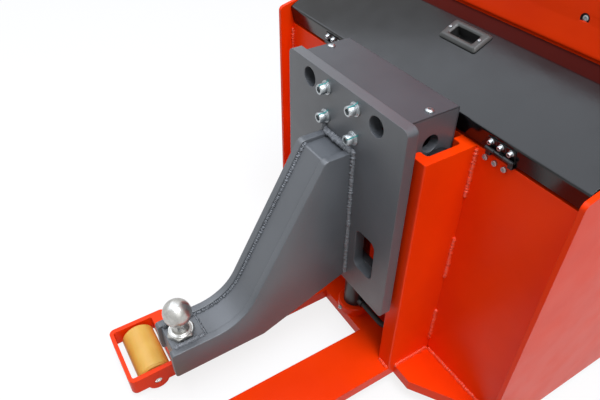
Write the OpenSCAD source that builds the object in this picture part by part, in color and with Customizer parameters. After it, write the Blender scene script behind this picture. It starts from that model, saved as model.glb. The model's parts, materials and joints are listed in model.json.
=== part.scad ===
// Stand-on electric tow tractor with a lifting ball hitch at the rear.
// +X is the travel direction, +Y the left side, +Z up, and the floor is z = 0.
// Each sub-part is drawn from the carriage plate's outer face at x = 0, then
// moved by hitch_x so that the origin lies on the floor under the middle.

/* [Overall] */
// Width over the two side plates
body_w = 736; // [700:2:800]
// Reach of the leg noses behind the carriage plate
nose_reach = 425; // [405:5:460]
// Gap under the base plate
base_clear = 40; // [36:1:48]
// Thickness of the base plate and the legs
base_t = 25; // [20:1:30]
// Thickness of each side plate
side_t = 8; // [6:1:12]
// Gap under the side plates
side_clear = 27; // [22:1:32]

/* [Straddle legs] */
// Gap between the two legs
leg_gap = 129; // [120:1:140]
// Width of one leg
leg_w = 106.5; // [95:0.5:115]
// Distance of the notched crossbar's edge ahead of the carriage plate
crossbar_x = 36; // [33:1:40]
// Distance of the flared rear edge ahead of the carriage plate
flare_x = 44; // [42:1:54]
// Half width at which the flare is chamfered
flare_y = 215; // [200:1:230]
// Length of the flare's chamfer along the machine
flare_run = 96; // [80:1:110]

/* [Leg heads] */
// Width of a leg head
head_w = 146; // [140:1:152]
// Length of a leg head at full width
head_l = 117; // [115:1:125]
// Length of the shoulder that narrows to the leg
shoulder_l = 40; // [30:1:50]
// Height of the nose
nose_h = 38; // [34:1:42]
// Thickness of the nose bar
nose_t = 8; // [6:1:10]
// Thickness of a head's cheek
cheek_t = 10; // [8:0.5:12]
// Corner radius of the nose
nose_r = 12; // [8:1:16]
// Radius of the boss around the roller pin
boss_r = 22; // [20:1:24]
// Radius of the leg roller
leg_roller_r = 34; // [32:1:35]
// Length of the leg roller
leg_roller_l = 120; // [116:1:122]
// Radius of the leg roller's pin
leg_pin_r = 8; // [6:0.5:10]
// Gap between a leg roller and the front of its opening
roller_gap = 12; // [9:1:14]

/* [Mast] */
// Gap between the carriage plate and the mast channels
mast_gap = 8; // [7:1:12]
// Depth of a mast channel along the machine
channel_d = 102; // [98:1:110]
// Width of a mast channel across the machine
channel_w = 32.5; // [31:0.5:36]
// Thickness of a channel's web
web_t = 16; // [14:0.5:18]
// Thickness of a channel's flange
flange_t = 18; // [16:0.5:20]
// Height of the mast channels above the base plate
mast_h = 506; // [480:2:530]
// Thickness of the bulkhead
bulkhead_t = 8; // [6:1:10]
// Width of the bulkhead's top lip
lip_w = 20; // [15:1:25]
// Leg length of the fillet welds
weld_leg = 6; // [5:0.5:7]

/* [Lift cylinder] */
// Distance of the cylinder from the channels' rear face
cylinder_in = 38; // [37:1:41]
// Outer radius of the barrel
barrel_r = 22.5; // [21:0.5:24]
// Height of the barrel
barrel_h = 384; // [370:2:390]
// Radius of the lift rod
rod_r = 15; // [13:0.5:16]
// Thickness of the barrel's wall
barrel_wall = 4.5; // [4:0.5:5]
// Outer radius of the welded collar
collar_r = 35; // [34:1:37]
// Height of the collar
collar_h = 20; // [16:1:24]
// Stroke of the lift
lift_stroke = 120; // [100:5:125]
// Radius of the hydraulic hose
hose_r = 6; // [5:0.5:7]

/* [Carriage] */
// Width of the carriage plate
plate_w = 313; // [305:1:325]
// Height of the carriage plate
plate_h = 399; // [390:1:410]
// Height of the carriage plate's lower edge above the floor
plate_z = 230; // [226:1:240]
// Thickness of the carriage plate
plate_t = 20; // [18:1:22]
// Corner radius of the carriage plate
plate_r = 11; // [8:1:14]
// Radius of the two round holes in the plate
plate_hole_r = 17; // [14:0.5:20]
// Distance between the two round holes
plate_hole_pitch = 180; // [170:1:190]
// Distance of the round holes below the plate's top
plate_hole_drop = 27; // [24:1:34]
// Width of a window in the plate
window_w = 52; // [44:1:56]
// Height of a window in the plate
window_h = 88; // [80:1:96]
// Distance between the two windows' centres
window_pitch = 184; // [176:1:190]
// Height of the windows' centres above the plate's lower edge
window_rise = 107; // [100:1:115]
// Spacing of the four socket screws across the plate
screw_pitch_y = 78; // [74:1:84]
// Spacing of the four socket screws up the plate
screw_pitch_z = 52; // [48:1:56]
// Distance of the upper socket screws below the plate's top
screw_drop = 23; // [20:1:26]
// Nominal radius of the socket screws
screw_r = 6; // [5:0.5:6.5]
// Half width of the carriage box
box_y = 137; // [134:0.5:137.5]
// Thickness of the carriage box's sides
box_t = 15; // [12:0.5:18]
// Radius of the carriage rollers
car_roller_r = 32.5; // [31.5:0.25:32.75]
// Thickness of the folded sheet cover
cover_t = 3; // [2:0.5:3.5]

/* [Gooseneck] */
// Width over the gooseneck's side plates
neck_w = 84; // [80:1:90]
// Thickness of a gooseneck side plate
neck_t = 14; // [12:1:16]
// Reach of the gooseneck behind the carriage plate
neck_reach = 353; // [340:1:370]
// Height of the gooseneck's underside at its end
neck_low_z = 177; // [170:1:182]
// Height of the gooseneck's end
neck_end_h = 60; // [56:1:70]
// Height of the gooseneck's top at the carriage plate above its underside at the end
neck_rise = 350; // [340:1:365]
// Radius of the gooseneck's bend
bend_r = 90; // [70:1:95]
// Depth of the recess above the web plates
web_recess = 6; // [4:0.5:8]
// Radius of the tow ball
ball_r = 25; // [24:0.5:27]
// Distance of the tow ball from the gooseneck's end
ball_in = 34; // [31:1:37]
// Height of the ball's centre above the gooseneck's end
ball_rise = 52; // [48:1:56]

/* [Battery bay and lid] */
// Depth of the battery bay
bay_d = 172; // [168:1:190]
// Thickness of the bay's front wall
bay_wall_t = 8; // [6:1:10]
// Gap between the lid and the bulkhead's top
lid_gap = 6; // [5:1:8]
// Height of the lid's rear face
lid_rear_h = 31.5; // [30:0.5:36]
// Distance by which the lid's rear face leans back at its top
lid_lean = 7; // [5:0.5:8]
// Length of the lid's slope along the machine
slope_run = 132; // [122:1:137]
// Rise of the lid's slope
slope_rise = 63.5; // [55:0.5:68]
// Gap between the lid and each side plate
lid_side_gap = 3; // [2:0.5:6]
// Thickness of the lid's sheet
lid_t = 3; // [2:0.5:3.5]
// Radius of the lid's rear edge
lid_edge_r = 4; // [3.5:0.5:6]
// Overhang of the side plates behind the bulkhead
side_overhang = 30; // [26:1:36]
// Height of the side plates' shoulder above the lid's level strip
side_lip = 10; // [6:1:14]
// Distance between the two hinges
hinge_pitch = 416; // [400:2:440]
// Width of a hinge
hinge_w = 60; // [56:1:66]
// Radius of the hinge knuckles
knuckle_r = 5; // [4.5:0.1:5.5]
// Width of the handle's bezel
bezel_w = 82; // [76:1:90]
// Distance of the handle to the right of the middle
bezel_off = 20; // [0:1:40]
// Depth of the handle's bezel along the slope
bezel_d = 43; // [40:1:48]

/* [Backrest] */
// Depth of the backrest shell
backrest_d = 90; // [80:1:110]
// Height of the backrest above the floor
backrest_top = 1130; // [1080:5:1180]
// Height of the backrest's lower edge above the lid
backrest_gap = 6; // [5:1:8]
// Corner radius of the backrest shell
backrest_r = 60; // [50:1:80]
// Radius of the shell's rounded rear edges
shell_edge_r = 22; // [16:1:26]
// Thickness of the backrest pad
pad_t = 42; // [36:1:50]
// Width of the backrest pad
pad_w = 540; // [500:5:560]
// Height of the backrest pad
pad_h = 300; // [260:5:320]

/* [Platform] */
// Depth of the standing platform
platform_d = 450; // [420:5:480]
// Height of the platform plate above the base plate
platform_h = 41; // [38:1:50]
// Thickness of the rubber mat
mat_t = 8; // [6:0.5:10]
// Width of the presence pedal
pedal_w = 200; // [180:5:220]
// Depth of the presence pedal
pedal_d = 140; // [120:5:150]
// Gap around the presence pedal
pedal_gap = 4; // [3:0.5:5]

/* [Drive compartment] */
// Depth of the front hood
hood_d = 326; // [320:2:350]
// Height of the hood's top above the floor
hood_top = 870; // [840:5:900]
// Radius of the hood's front corners
hood_r = 120; // [100:5:125]
// Thickness of the hood's wall
hood_t = 4; // [3:0.5:5]
// Height of the hood's lower edge above the floor
hood_low = 160; // [155:1:170]
// Thickness of the toe panel
toe_t = 6; // [4:0.5:8]
// Height of the motor plate's underside above the floor
motor_plate_z = 290; // [286:1:300]
// Thickness of the front frame's plates
frame_t = 10; // [8:1:12]
// Distance of the drive wheel ahead of the toe panel
drive_in = 150; // [145:1:155]
// Radius of the drive wheel
drive_r = 115; // [110:1:118]
// Width of the drive wheel
drive_w = 80; // [70:1:84]
// Radius of the turning head of the gearbox
head_r = 96; // [90:1:98]
// Radius of the drive motor
motor_r = 72; // [65:1:78]
// Height of the drive motor
motor_h = 160; // [140:5:180]
// Thickness of the bumper
bumper_t = 14; // [10:1:18]
// Height of the bumper
bumper_h = 90; // [80:1:95]

/* [Casters] */
// Radius of a caster wheel
caster_r = 50; // [46:1:51]
// Width of a caster wheel
caster_w = 40; // [34:1:42]
// Trail of a caster
caster_trail = 35; // [30:1:36]
// Distance of a caster from the side plate
caster_in = 95; // [94:1:98]
// Height of the caster shelf's underside
shelf_z = 140; // [138:1:146]

/* [Controls] */
// Lean of the steering column towards the driver, in degrees
column_lean = 20; // [15:1:25]
// Depth of the console along the machine
console_d = 200; // [180:5:220]
// Width of the console
console_w = 380; // [340:5:400]
// Height of the console above the hood
console_h = 115; // [105:1:130]
// Radius of the steering shaft
shaft_r = 16; // [14:0.5:18]
// Radius of the steering hub
hub_r = 48; // [45:1:52]
// Height of the steering hub
hub_h = 70; // [64:1:80]
// Distance of the hub above the console
hub_rise = 55; // [45:1:65]
// Half width over the grips
grip_reach = 200; // [180:5:220]
// Length of a grip
grip_l = 105; // [95:1:110]
// Radius of a grip
grip_r = 17; // [15:0.5:19]
// Radius of the horn button
horn_r = 10; // [9:0.5:11]
// Radius of the emergency button's head
stop_r = 20; // [18:0.5:22]

/* [Hidden] */
$fn = 48;

// Overrun of every cut past the face that it opens
cut = 1;
// Radial clearance of a running fit
run_fit = 0.05;
// Gap between pieces that move past each other
near_gap = 0.3;
// Thickness of a hinge leaf
hinge_leaf_t = 3;

// Stations along the machine, from the carriage plate's outer face
mast_x = plate_t + mast_gap;
bulkhead_x = mast_x + channel_d;
lid_x = bulkhead_x - hinge_leaf_t / 3;
bay_wall_x = bulkhead_x + bulkhead_t + bay_d;
platform_x = bay_wall_x + backrest_d;
toe_x = platform_x + platform_d;
drive_x = toe_x + drive_in;
hood_x = toe_x + hood_d;
front_reach = hood_x + bumper_t;
overall_l = nose_reach + front_reach;
hitch_x = nose_reach - overall_l / 2;
cylinder_x = mast_x + cylinder_in;
channel_mid_x = mast_x + channel_d / 2;

// Heights above the floor
base_top = base_clear + base_t;
mast_top = base_top + mast_h;
plate_top = plate_z + plate_h;
lid_low = mast_top + lid_gap;
lid_rear_z = lid_low + lid_rear_h;
crease_z = lid_rear_z + slope_rise;
backrest_low = crease_z + backrest_gap;
platform_top = base_top + platform_h;
mat_top = platform_top + mat_t;

// Half widths
in_y = body_w / 2 - side_t;
leg_in = leg_gap / 2;
leg_out = leg_in + leg_w;
channel_in = leg_out - channel_w;

// Leg head
head_mid_y = leg_in + head_w / 2;
head_pin_x = -nose_reach + nose_t + roller_gap + leg_roller_r;
opening_end_x = head_pin_x + leg_roller_r + 0.33 * roller_gap;
head_end_x = -nose_reach + head_l + shoulder_l;
pin_recess = 1.5;

// Hinge and lid
hinge_leaf_h = 27;
hinge_pin_r = 2.5;
flange_a = 90 + atan2(lid_lean, lid_rear_h);
hinge_s = knuckle_r + 0.47 * lid_gap;
hinge_n = knuckle_r + near_gap;
hinge_x = lid_x + hinge_s * cos(flange_a) - hinge_n * sin(flange_a);
hinge_z = lid_low + hinge_s * sin(flange_a) + hinge_n * cos(flange_a);
hinge_screw_pitch = 18;
hinge_screw_r = 3;
lid_end_x = bay_wall_x - 0.66 * backrest_gap;
crease_x = lid_x - lid_lean + slope_run;
slope_a = atan2(slope_rise, slope_run);
lid_y = in_y - lid_side_gap;
lid_skirt = 34;

// Fasteners and small fits
socket_head_r = 1.5 * screw_r;
socket_head_h = 2 * screw_r;
washer_r = 2 * screw_r;
washer_t = 0.42 * screw_r;
hex_share = 0.48;
button_r = 7;
button_h = 4;

// Unit vector, mitred parallel and rounded outline of a path or polygon
function unit(v) = v / norm(v);
function side_of(a, b) = let (d = unit(b - a)) [-d[1], d[0]];
function mitre(a, b, c) = let (m = side_of(a, b), n = side_of(b, c), s = unit(m + n)) s / (s * m);
function shifted(p, d) = [for (i = [0 : len(p) - 1])
    p[i] + d * (i == 0 ? side_of(p[0], p[1])
        : i == len(p) - 1 ? side_of(p[i - 1], p[i])
        : mitre(p[i - 1], p[i], p[i + 1]))];
function turn_of(d) = d > 180 ? d - 360 : d < -180 ? d + 360 : d;
function corner(a, b, c, r, steps) = r == 0 ? [b] :
    let (u = unit(a - b), v = unit(c - b), half = acos(u * v) / 2, mid = b + unit(u + v) * r / sin(half),
        s = b + u * r / tan(half) - mid, e = b + v * r / tan(half) - mid,
        from = atan2(s[1], s[0]), turn = turn_of(atan2(e[1], e[0]) - from))
    [for (i = [0 : steps]) mid + r * [cos(from + turn * i / steps), sin(from + turn * i / steps)]];
function rounded(p, r, steps = 6) = [for (i = [0 : len(p) - 1])
    each corner(p[(i + len(p) - 1) % len(p)], p[i], p[(i + 1) % len(p)], is_list(r) ? r[i] : r, steps)];
function reversed(p) = [for (i = [len(p) - 1 : -1 : 0]) p[i]];
function rect(x0, y0, x1, y1) = [[x0, y0], [x1, y0], [x1, y1], [x0, y1]];
function bead(at, a, b) = [at, at + [a, 0], at + [0, b]];
function band(p, near, far) = concat(shifted(p, near), reversed(shifted(p, far)));

// A block between two opposite corners
module block(from, to) {
    translate(from) cube(to - from);
}

// An outline in x and z, drawn from y0 to y1
module upright(points, y0, y1) {
    translate([0, y1, 0]) rotate([90, 0, 0]) linear_extrude(y1 - y0) polygon(points);
}

// An outline in y and z, drawn from x0 to x1
module across(points, x0, x1) {
    translate([x0, 0, 0]) rotate([90, 0, 90]) linear_extrude(x1 - x0) polygon(points);
}

// An outline in x and y, drawn from z0 to z1
module flat(points, z0, z1) {
    translate([0, 0, z0]) linear_extrude(z1 - z0) polygon(points);
}

// A round bar along x, y or z from its start
module bar_x(from, r, l) {
    translate(from) rotate([0, 90, 0]) cylinder(r = r, h = l);
}
module bar_y(from, r, l) {
    translate(from) rotate([-90, 0, 0]) cylinder(r = r, h = l);
}
module bar_z(from, r, l) {
    translate(from) cylinder(r = r, h = l);
}

module both_sides() {
    children();
    mirror([0, 1, 0]) children();
}

module painted(paint) {
    color(paint) translate([hitch_x, 0, 0]) children();
}

// Base plate with the two straddle legs
module base_plate() {
    half = [
        [crossbar_x, leg_in], [head_end_x, leg_in], [head_end_x, leg_out], [flare_x, leg_out],
        [flare_x, flare_y], [flare_x + flare_run, in_y], [toe_x, in_y]
    ];
    other = [for (p = reversed(half)) [p[0], -p[1]]];
    painted("orangered") flat(concat(half, other), base_clear, base_clear + base_t);
}

// Roller heads at the tips of the legs
module leg_heads() {
    plan = [
        [-nose_reach, leg_in], [head_end_x, leg_in], [head_end_x, leg_out],
        [head_end_x - shoulder_l, leg_in + head_w], [-nose_reach, leg_in + head_w]
    ];
    nose_low = base_top - nose_h;
    side = [
        [-nose_reach, nose_low], [opening_end_x, nose_low], [opening_end_x + base_t / 2, base_clear],
        [head_end_x, base_clear], [head_end_x, base_top], [-nose_reach, base_top]
    ];
    painted("orangered") both_sides() difference() {
        union() {
            intersection() {
                linear_extrude(base_top + cut) polygon(rounded(plan, [nose_r, 0, 0, nose_r, nose_r]));
                upright(side, 0, leg_in + 2 * head_w);
            }
            for (y = [leg_in, leg_in + head_w - cheek_t])
                bar_y([head_pin_x, y, leg_roller_r], boss_r, cheek_t);
        }
        flat(rounded(rect(-nose_reach + nose_t, leg_in + cheek_t, opening_end_x, leg_in + head_w - cheek_t),
            nose_t / 2), 0, base_top + cut);
        bar_y([head_pin_x, leg_in - cut, leg_roller_r], leg_pin_r + run_fit, head_w + 2 * cut);
    }
}

// Roller pins, each with a flat head slot for its keeper
module leg_roller_pins() {
    painted("gainsboro") both_sides() difference() {
        bar_y([head_pin_x, leg_in + pin_recess, leg_roller_r], leg_pin_r, head_w - 2 * pin_recess);
        translate([head_pin_x, leg_in + pin_recess, leg_roller_r])
            cube([2 * leg_pin_r + cut, pin_recess, leg_pin_r / 3], center = true);
    }
}

module leg_roller() {
    groove = leg_roller_r / 17;
    bevel = leg_roller_r / 8;
    bore = leg_pin_r + run_fit;
    core_r = 2.2 * leg_pin_r;
    half = leg_roller_l / 2;
    painted("goldenrod") translate([head_pin_x, head_mid_y, leg_roller_r]) rotate([90, 0, 0])
        rotate_extrude() polygon([
            [bore, -half], [core_r, -half], [core_r + groove, groove - half],
            [leg_roller_r - bevel, groove - half], [leg_roller_r, groove + bevel - half],
            [leg_roller_r, half - groove - bevel], [leg_roller_r - bevel, half - groove],
            [core_r + groove, half - groove], [core_r, half], [bore, half]
        ]);
}
module leg_roller_left() {
    leg_roller();
}
module leg_roller_right() {
    mirror([0, 1, 0]) leg_roller();
}

// Side plates: a flat slope beside the lid, low beside the platform, raised at the drive compartment
sill_z = mat_top + side_lip;
side_end_x = hood_x - hood_r / 3;
module side_plates() {
    rear_x = bulkhead_x - side_overhang;
    shoulder_z = crease_z + side_lip;
    foot_x = bay_wall_x - 3 * side_lip;
    foot_z = lid_rear_z + (foot_x - rear_x) / 4;
    outline = [
        [rear_x, side_clear], [side_end_x, side_clear], [side_end_x, hood_low], [toe_x, hood_low],
        [toe_x - side_lip, sill_z], [platform_x + side_lip, sill_z], [platform_x, shoulder_z],
        [bay_wall_x, shoulder_z], [foot_x, foot_z], [rear_x, lid_rear_z - near_gap]
    ];
    bends = [1, 1, 0, 0.5, 1, 6, 4, 1, 2, 1];
    radii = side_lip * bends;
    painted("orangered") both_sides() upright(rounded(outline, radii), in_y, body_w / 2);
}

// Bulkhead with its top lip and the hose hole
hose_z = base_top + collar_h + 2 * hose_r;
hose_y = -channel_in + 4.5 * hose_r;
module bulkhead() {
    painted("orangered") difference() {
        union() {
            block([bulkhead_x, -in_y, base_top], [bulkhead_x + bulkhead_t, in_y, mast_top]);
            block([bulkhead_x, -in_y, mast_top - bulkhead_t],
                [bulkhead_x + bulkhead_t + lip_w, in_y, mast_top]);
        }
        bar_x([bulkhead_x - cut, hose_y, hose_z], hose_r + pin_recess, bulkhead_t + 2 * cut);
    }
}

// Rolled mast channels, open towards the middle
module mast_channels() {
    fillet = flange_t / 3;
    front_x = mast_x + channel_d;
    outline = [
        [mast_x, leg_out], [mast_x, channel_in], [mast_x + flange_t, channel_in],
        [mast_x + flange_t, leg_out - web_t], [front_x - flange_t, leg_out - web_t],
        [front_x - flange_t, channel_in], [front_x, channel_in], [front_x, leg_out]
    ];
    painted("orangered") both_sides() translate([0, 0, base_top]) linear_extrude(mast_h)
        polygon(rounded(outline, [fillet / 2, fillet / 3, fillet / 2, fillet, fillet, fillet / 2, 0, 0]));
}

// Weld beads of the chassis
module frame_welds() {
    foot_leg = 0.8 * weld_leg;
    bead_shares = [[0.07, 0.24], [0.43, 0.62], [0.81, 0.985]];
    foot_y = flare_y + (bulkhead_x - 2 * weld_leg - flare_x) / flare_run * (in_y - flare_y);
    painted("orangered") both_sides() {
        for (s = bead_shares)
            flat(bead([bulkhead_x, leg_out], -weld_leg, weld_leg),
                base_top + s[0] * mast_h, base_top + s[1] * mast_h);
        across(bead([leg_out, base_top], weld_leg, weld_leg), flare_x, bulkhead_x - weld_leg);
        upright(bead([bulkhead_x, base_top], -weld_leg, weld_leg), leg_out + weld_leg, foot_y);
        flat(bead([bulkhead_x, in_y], -weld_leg, -weld_leg), base_top + weld_leg, mast_top - 2 * weld_leg);
        upright(bead([mast_x, base_top], -foot_leg, foot_leg), channel_in + weld_leg, leg_out - weld_leg);
    }
}

// Welded collar that seats the lift cylinder
module cylinder_seat() {
    screw_hole = hose_r / 2 + run_fit;
    painted("orangered") difference() {
        translate([cylinder_x, 0, base_top]) rotate_extrude() polygon([
            [barrel_r + near_gap, 0], [collar_r, 0], [collar_r, collar_h - weld_leg / 2],
            [collar_r - weld_leg / 2, collar_h], [barrel_r + near_gap, collar_h]
        ]);
        bar_x([cylinder_x - collar_r - cut, 0, base_top + 0.6 * collar_h],
            screw_hole, collar_r - barrel_r + cut);
    }
}

module bleed_screw() {
    thread = hose_r / 2;
    at = [cylinder_x - collar_r, 0, base_top + 0.6 * collar_h];
    painted("silver") {
        bar_x(at - [2 * thread, 0, 0], 0.7 * thread, 2 * thread);
        bar_x(at, thread, collar_r - barrel_r - near_gap);
        translate(at) rotate([0, -90, 0]) cylinder(r = 1.7 * thread, h = thread, $fn = 6);
    }
}

// Lift cylinder: barrel with a closed foot, gland nut and side port
module lift_cylinder() {
    inner_r = barrel_r - barrel_wall;
    foot = 2 * barrel_wall;
    gland_h = 24;
    flat = barrel_h - gland_h;
    port_r = 1.5 * hose_r;
    painted("dimgray") difference() {
        union() {
            translate([cylinder_x, 0, base_top]) rotate_extrude() polygon([
                [0, 0], [barrel_r, 0], [barrel_r, flat], [barrel_r + barrel_wall / 2, flat],
                [barrel_r + barrel_wall / 2, barrel_h - barrel_wall / 2], [barrel_r, barrel_h], [0, barrel_h]
            ]);
            bar_y([cylinder_x, -barrel_r - port_r, hose_z], port_r, barrel_r);
        }
        bar_z([cylinder_x, 0, base_top + foot], inner_r, barrel_h - foot - gland_h);
        bar_z([cylinder_x, 0, base_top + foot], rod_r + run_fit, barrel_h);
        bar_y([cylinder_x, -barrel_r - port_r - cut, hose_z], hose_r / 2, barrel_r + port_r);
    }
}

// Lift rod with its piston, raised with the carriage
beam_z = plate_top - 39;
module lift_rod() {
    piston_h = 30;
    low = base_top + 2 * barrel_wall + lift_stroke + piston_h / 2;
    painted("lightsteelblue") {
        bar_z([cylinder_x, 0, low], rod_r, beam_z - low);
        bar_z([cylinder_x, 0, low], barrel_r - barrel_wall - run_fit, piston_h);
    }
}

// Pump unit in the bay: tank, pump block and motor
pump_x = bulkhead_x + bulkhead_t + bay_d / 2;
pump_w = 110;
pump_y = 0.82 * pump_w - in_y;
module hydraulic_unit() {
    tank_r = 58;
    tank_h = 150;
    pump_h = 60;
    motor_top = 170;
    painted("dimgray") {
        block([pump_x - pump_w / 2, pump_y - pump_w / 2, base_top],
            [pump_x + pump_w / 2, pump_y + pump_w / 2, base_top + pump_h]);
        translate([pump_x, pump_y, base_top + pump_h]) rotate_extrude()
            polygon(rounded(rect(0, 0, tank_r, tank_h), [0, 0, tank_r / 6, 0]));
        bar_z([pump_x, pump_y, base_top + pump_h + tank_h], 0.8 * tank_r, motor_top);
        bar_z([pump_x, pump_y, base_top + pump_h + tank_h + motor_top], 0.7 * tank_r, 0.1 * tank_r);
    }
}

// Hose from the pump block through the bulkhead to the barrel's port
module hydraulic_hose() {
    start_y = pump_y + pump_w / 2;
    turn_r = 4 * hose_r;
    port_y = -barrel_r - 1.5 * hose_r;
    painted("black") translate([0, 0, hose_z]) {
        bar_y([pump_x, start_y, 0], hose_r, hose_y - turn_r - start_y);
        translate([pump_x - turn_r, hose_y - turn_r, 0]) rotate_extrude(angle = 90)
            translate([turn_r, 0]) circle(hose_r);
        bar_x([cylinder_x + turn_r, hose_y, 0], hose_r, pump_x - cylinder_x - 2 * turn_r);
        translate([cylinder_x + turn_r, hose_y + turn_r, 0]) rotate(180) rotate_extrude(angle = 90)
            translate([turn_r, 0]) circle(hose_r);
        bar_y([cylinder_x, hose_y + turn_r, 0], hose_r, port_y - hose_y - turn_r);
    }
}

// Battery: steel tray with twelve cells, bars and two terminals
battery_l = in_y + 85;
battery_gap = 12;
battery_d = bay_d - 2 * battery_gap;
battery_h = 400;
module battery_pack() {
    x0 = bulkhead_x + bulkhead_t + battery_gap;
    y0 = in_y - battery_gap - battery_l;
    wall = 5;
    cells = 12;
    per_row = cells / 2;
    gap = 3;
    cell_w = (battery_d - 2 * wall - gap) / 2;
    cell_l = (battery_l - 2 * wall - (per_row - 1) * gap) / per_row;
    cell_h = 30;
    painted("slategray") translate([x0, y0, base_top]) {
        cube([battery_d, battery_l, battery_h]);
        for (i = [0 : 1], j = [0 : per_row - 1])
            translate([wall + i * (cell_w + gap), wall + j * (cell_l + gap), battery_h]) {
                cube([cell_w, cell_l, cell_h]);
                bar_z([cell_w / 2, cell_l / 2, cell_h], cell_w / 6, cell_h / 5);
                bar_z([cell_w / 2, cell_l / 6, cell_h], cell_w / 9, cell_h / 4);
            }
    }
}

// Front wall of the bay with the ledge under the lid's front edge
module battery_front_wall() {
    ledge_t = 3;
    skirt_z = crease_z - lid_skirt;
    painted("orangered") {
        block([bay_wall_x, -in_y, base_top], [bay_wall_x + bay_wall_t, in_y, backrest_low]);
        block([lid_end_x - 4 * ledge_t, -in_y, skirt_z - near_gap - ledge_t],
            [bay_wall_x, in_y, skirt_z - near_gap]);
        block([platform_x - bay_wall_t, -in_y, base_top], [platform_x, in_y, backrest_low]);
        block([bay_wall_x, -in_y, base_top], [platform_x, in_y, base_top + bay_wall_t]);
    }
}

// Backrest shell: pressed panel with rounded corners and rear edges, open below
shell_gap = 12;
back_y = in_y - shell_gap;
module backrest_shell() {
    half = back_y - near_gap;
    wall = 3;
    face = rect(-half, backrest_low, half, backrest_top);
    side = rect(bay_wall_x, backrest_low, platform_x, backrest_top);
    inner_side = rect(bay_wall_x + wall, backrest_low - wall, platform_x - wall, backrest_top - wall);
    plan = rect(bay_wall_x, -half, platform_x, half);
    inner_plan = rect(bay_wall_x + wall, wall - half, platform_x - wall, half - wall);
    flat_r = [shell_edge_r / 3, shell_edge_r / 3, backrest_r, backrest_r];
    edge_r = [shell_edge_r, wall, shell_edge_r, shell_edge_r];
    cavity_low = backrest_low + shell_edge_r;
    cavity = rect(-half + wall, cavity_low, half - wall, backrest_top - wall);
    cavity_r = [wall, wall, backrest_r - wall, backrest_r - wall];
    painted("orangered") difference() {
        union() {
            difference() {
                intersection() {
                    across(rounded(face, flat_r), bay_wall_x, platform_x);
                    upright(rounded(side, edge_r), -half, half);
                    flat(rounded(plan, [shell_edge_r, wall, wall, shell_edge_r]), 0, backrest_top + cut);
                }
                intersection() {
                    across(rounded(cavity, cavity_r), bay_wall_x + wall, platform_x - wall);
                    upright(rounded(inner_side, [wall, wall, shell_edge_r - wall, shell_edge_r - wall]),
                        -half, half);
                    flat(rounded(inner_plan, [shell_edge_r - wall, wall, wall, shell_edge_r - wall]),
                        cavity_low, backrest_top);
                }
            }
            for (s = back_screw_at)
                bar_x([bay_wall_x + wall / 2, s[0], s[1]], recess_r + wall, recess_d + wall / 2);
        }
        for (s = back_screw_at)
            bar_x([bay_wall_x - cut, s[0], s[1]], recess_r, recess_d + cut);
    }
}

// Backrest screws sit in round recesses near the shell's edges
recess_r = 8;
recess_d = 4;
back_screw_at = [for (y = [-1, -0.58, 0.58, 1], z = [0, 1])
    [y * (back_y - 1.15 * backrest_r),
     z == 0 ? backrest_low + 2 * shell_edge_r : backrest_top - 0.75 * backrest_r]];

// Backrest pad: crowned cushion with drawn-in sides and two sewn channels
module backrest_pad() {
    low = backrest_top - pad_h - backrest_r / 2;
    crown = pad_t / 3;
    base = pad_t - crown;
    columns = 14;
    rows = 10;
    function lift_at(u, v) = base + crown * pow(sin(180 * u), 0.6) * pow(sin(180 * v), 0.6)
        - crown * 0.35 * (exp(-pow((u - 0.33) * 40, 2)) + exp(-pow((u - 0.67) * 40, 2)));
    function front(i, j) = [lift_at(i / columns, j / rows),
        (i / columns - 0.5) * pad_w, low + j / rows * pad_h];
    function back(i, j) = let (p = front(i, j), d = crown / 2) [near_gap,
        (i / columns - 0.5) * (pad_w - 2 * d), low + d + j / rows * (pad_h - 2 * d)];
    across_n = columns + 1;
    n = across_n * (rows + 1);
    points = concat([for (j = [0 : rows], i = [0 : columns]) front(i, j)],
        [for (j = [0 : rows], i = [0 : columns]) back(i, j)]);
    function cell(a, b, c, d) = [[a, b, c], [a, c, d]];
    faces = concat(
        [for (j = [0 : rows - 1], i = [0 : columns - 1]) let (k = j * across_n + i)
            each cell(k, k + across_n, k + across_n + 1, k + 1)],
        [for (j = [0 : rows - 1], i = [0 : columns - 1]) let (k = n + j * across_n + i)
            each cell(k, k + 1, k + across_n + 1, k + across_n)],
        [for (i = [0 : columns - 1]) let (t = rows * across_n)
            each concat(cell(i, i + 1, n + i + 1, n + i), cell(t + i, n + t + i, n + t + i + 1, t + i + 1))],
        [for (j = [0 : rows - 1]) let (k = j * across_n, e = k + columns)
            each concat(cell(k, n + k, n + k + across_n, k + across_n),
                cell(e, e + across_n, n + e + across_n, n + e))]);
    painted("black") translate([platform_x, 0, 0]) polyhedron(points, faces);
}

// A socket screw head standing on its seat
module socket_head(r, h) {
    difference() {
        rotate_extrude() polygon([[0, 0], [r, 0], [r, 0.9 * h], [0.9 * r, h], [0, h]]);
        translate([0, 0, h / 2]) cylinder(r = hex_share * r, h = h, $fn = 6);
    }
}

// Screws of the hinges on the bulkhead and of the backrest shell
module frame_screws() {
    painted("silver") {
        both_sides() for (k = [-1 : 1])
            translate([bulkhead_x, hinge_pitch / 2 + k * hinge_screw_pitch, frame_screw_z])
                rotate([0, -90, 0]) socket_head(hinge_head_r, hinge_screw_r);
        for (s = back_screw_at)
            translate([bay_wall_x + recess_d, s[0], s[1]]) rotate([0, -90, 0])
                socket_head(0.6 * recess_r, 0.6 * recess_d);
    }
}
frame_screw_z = mast_top - bulkhead_t;
hinge_head_r = 1.2 * hinge_screw_r;

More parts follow.
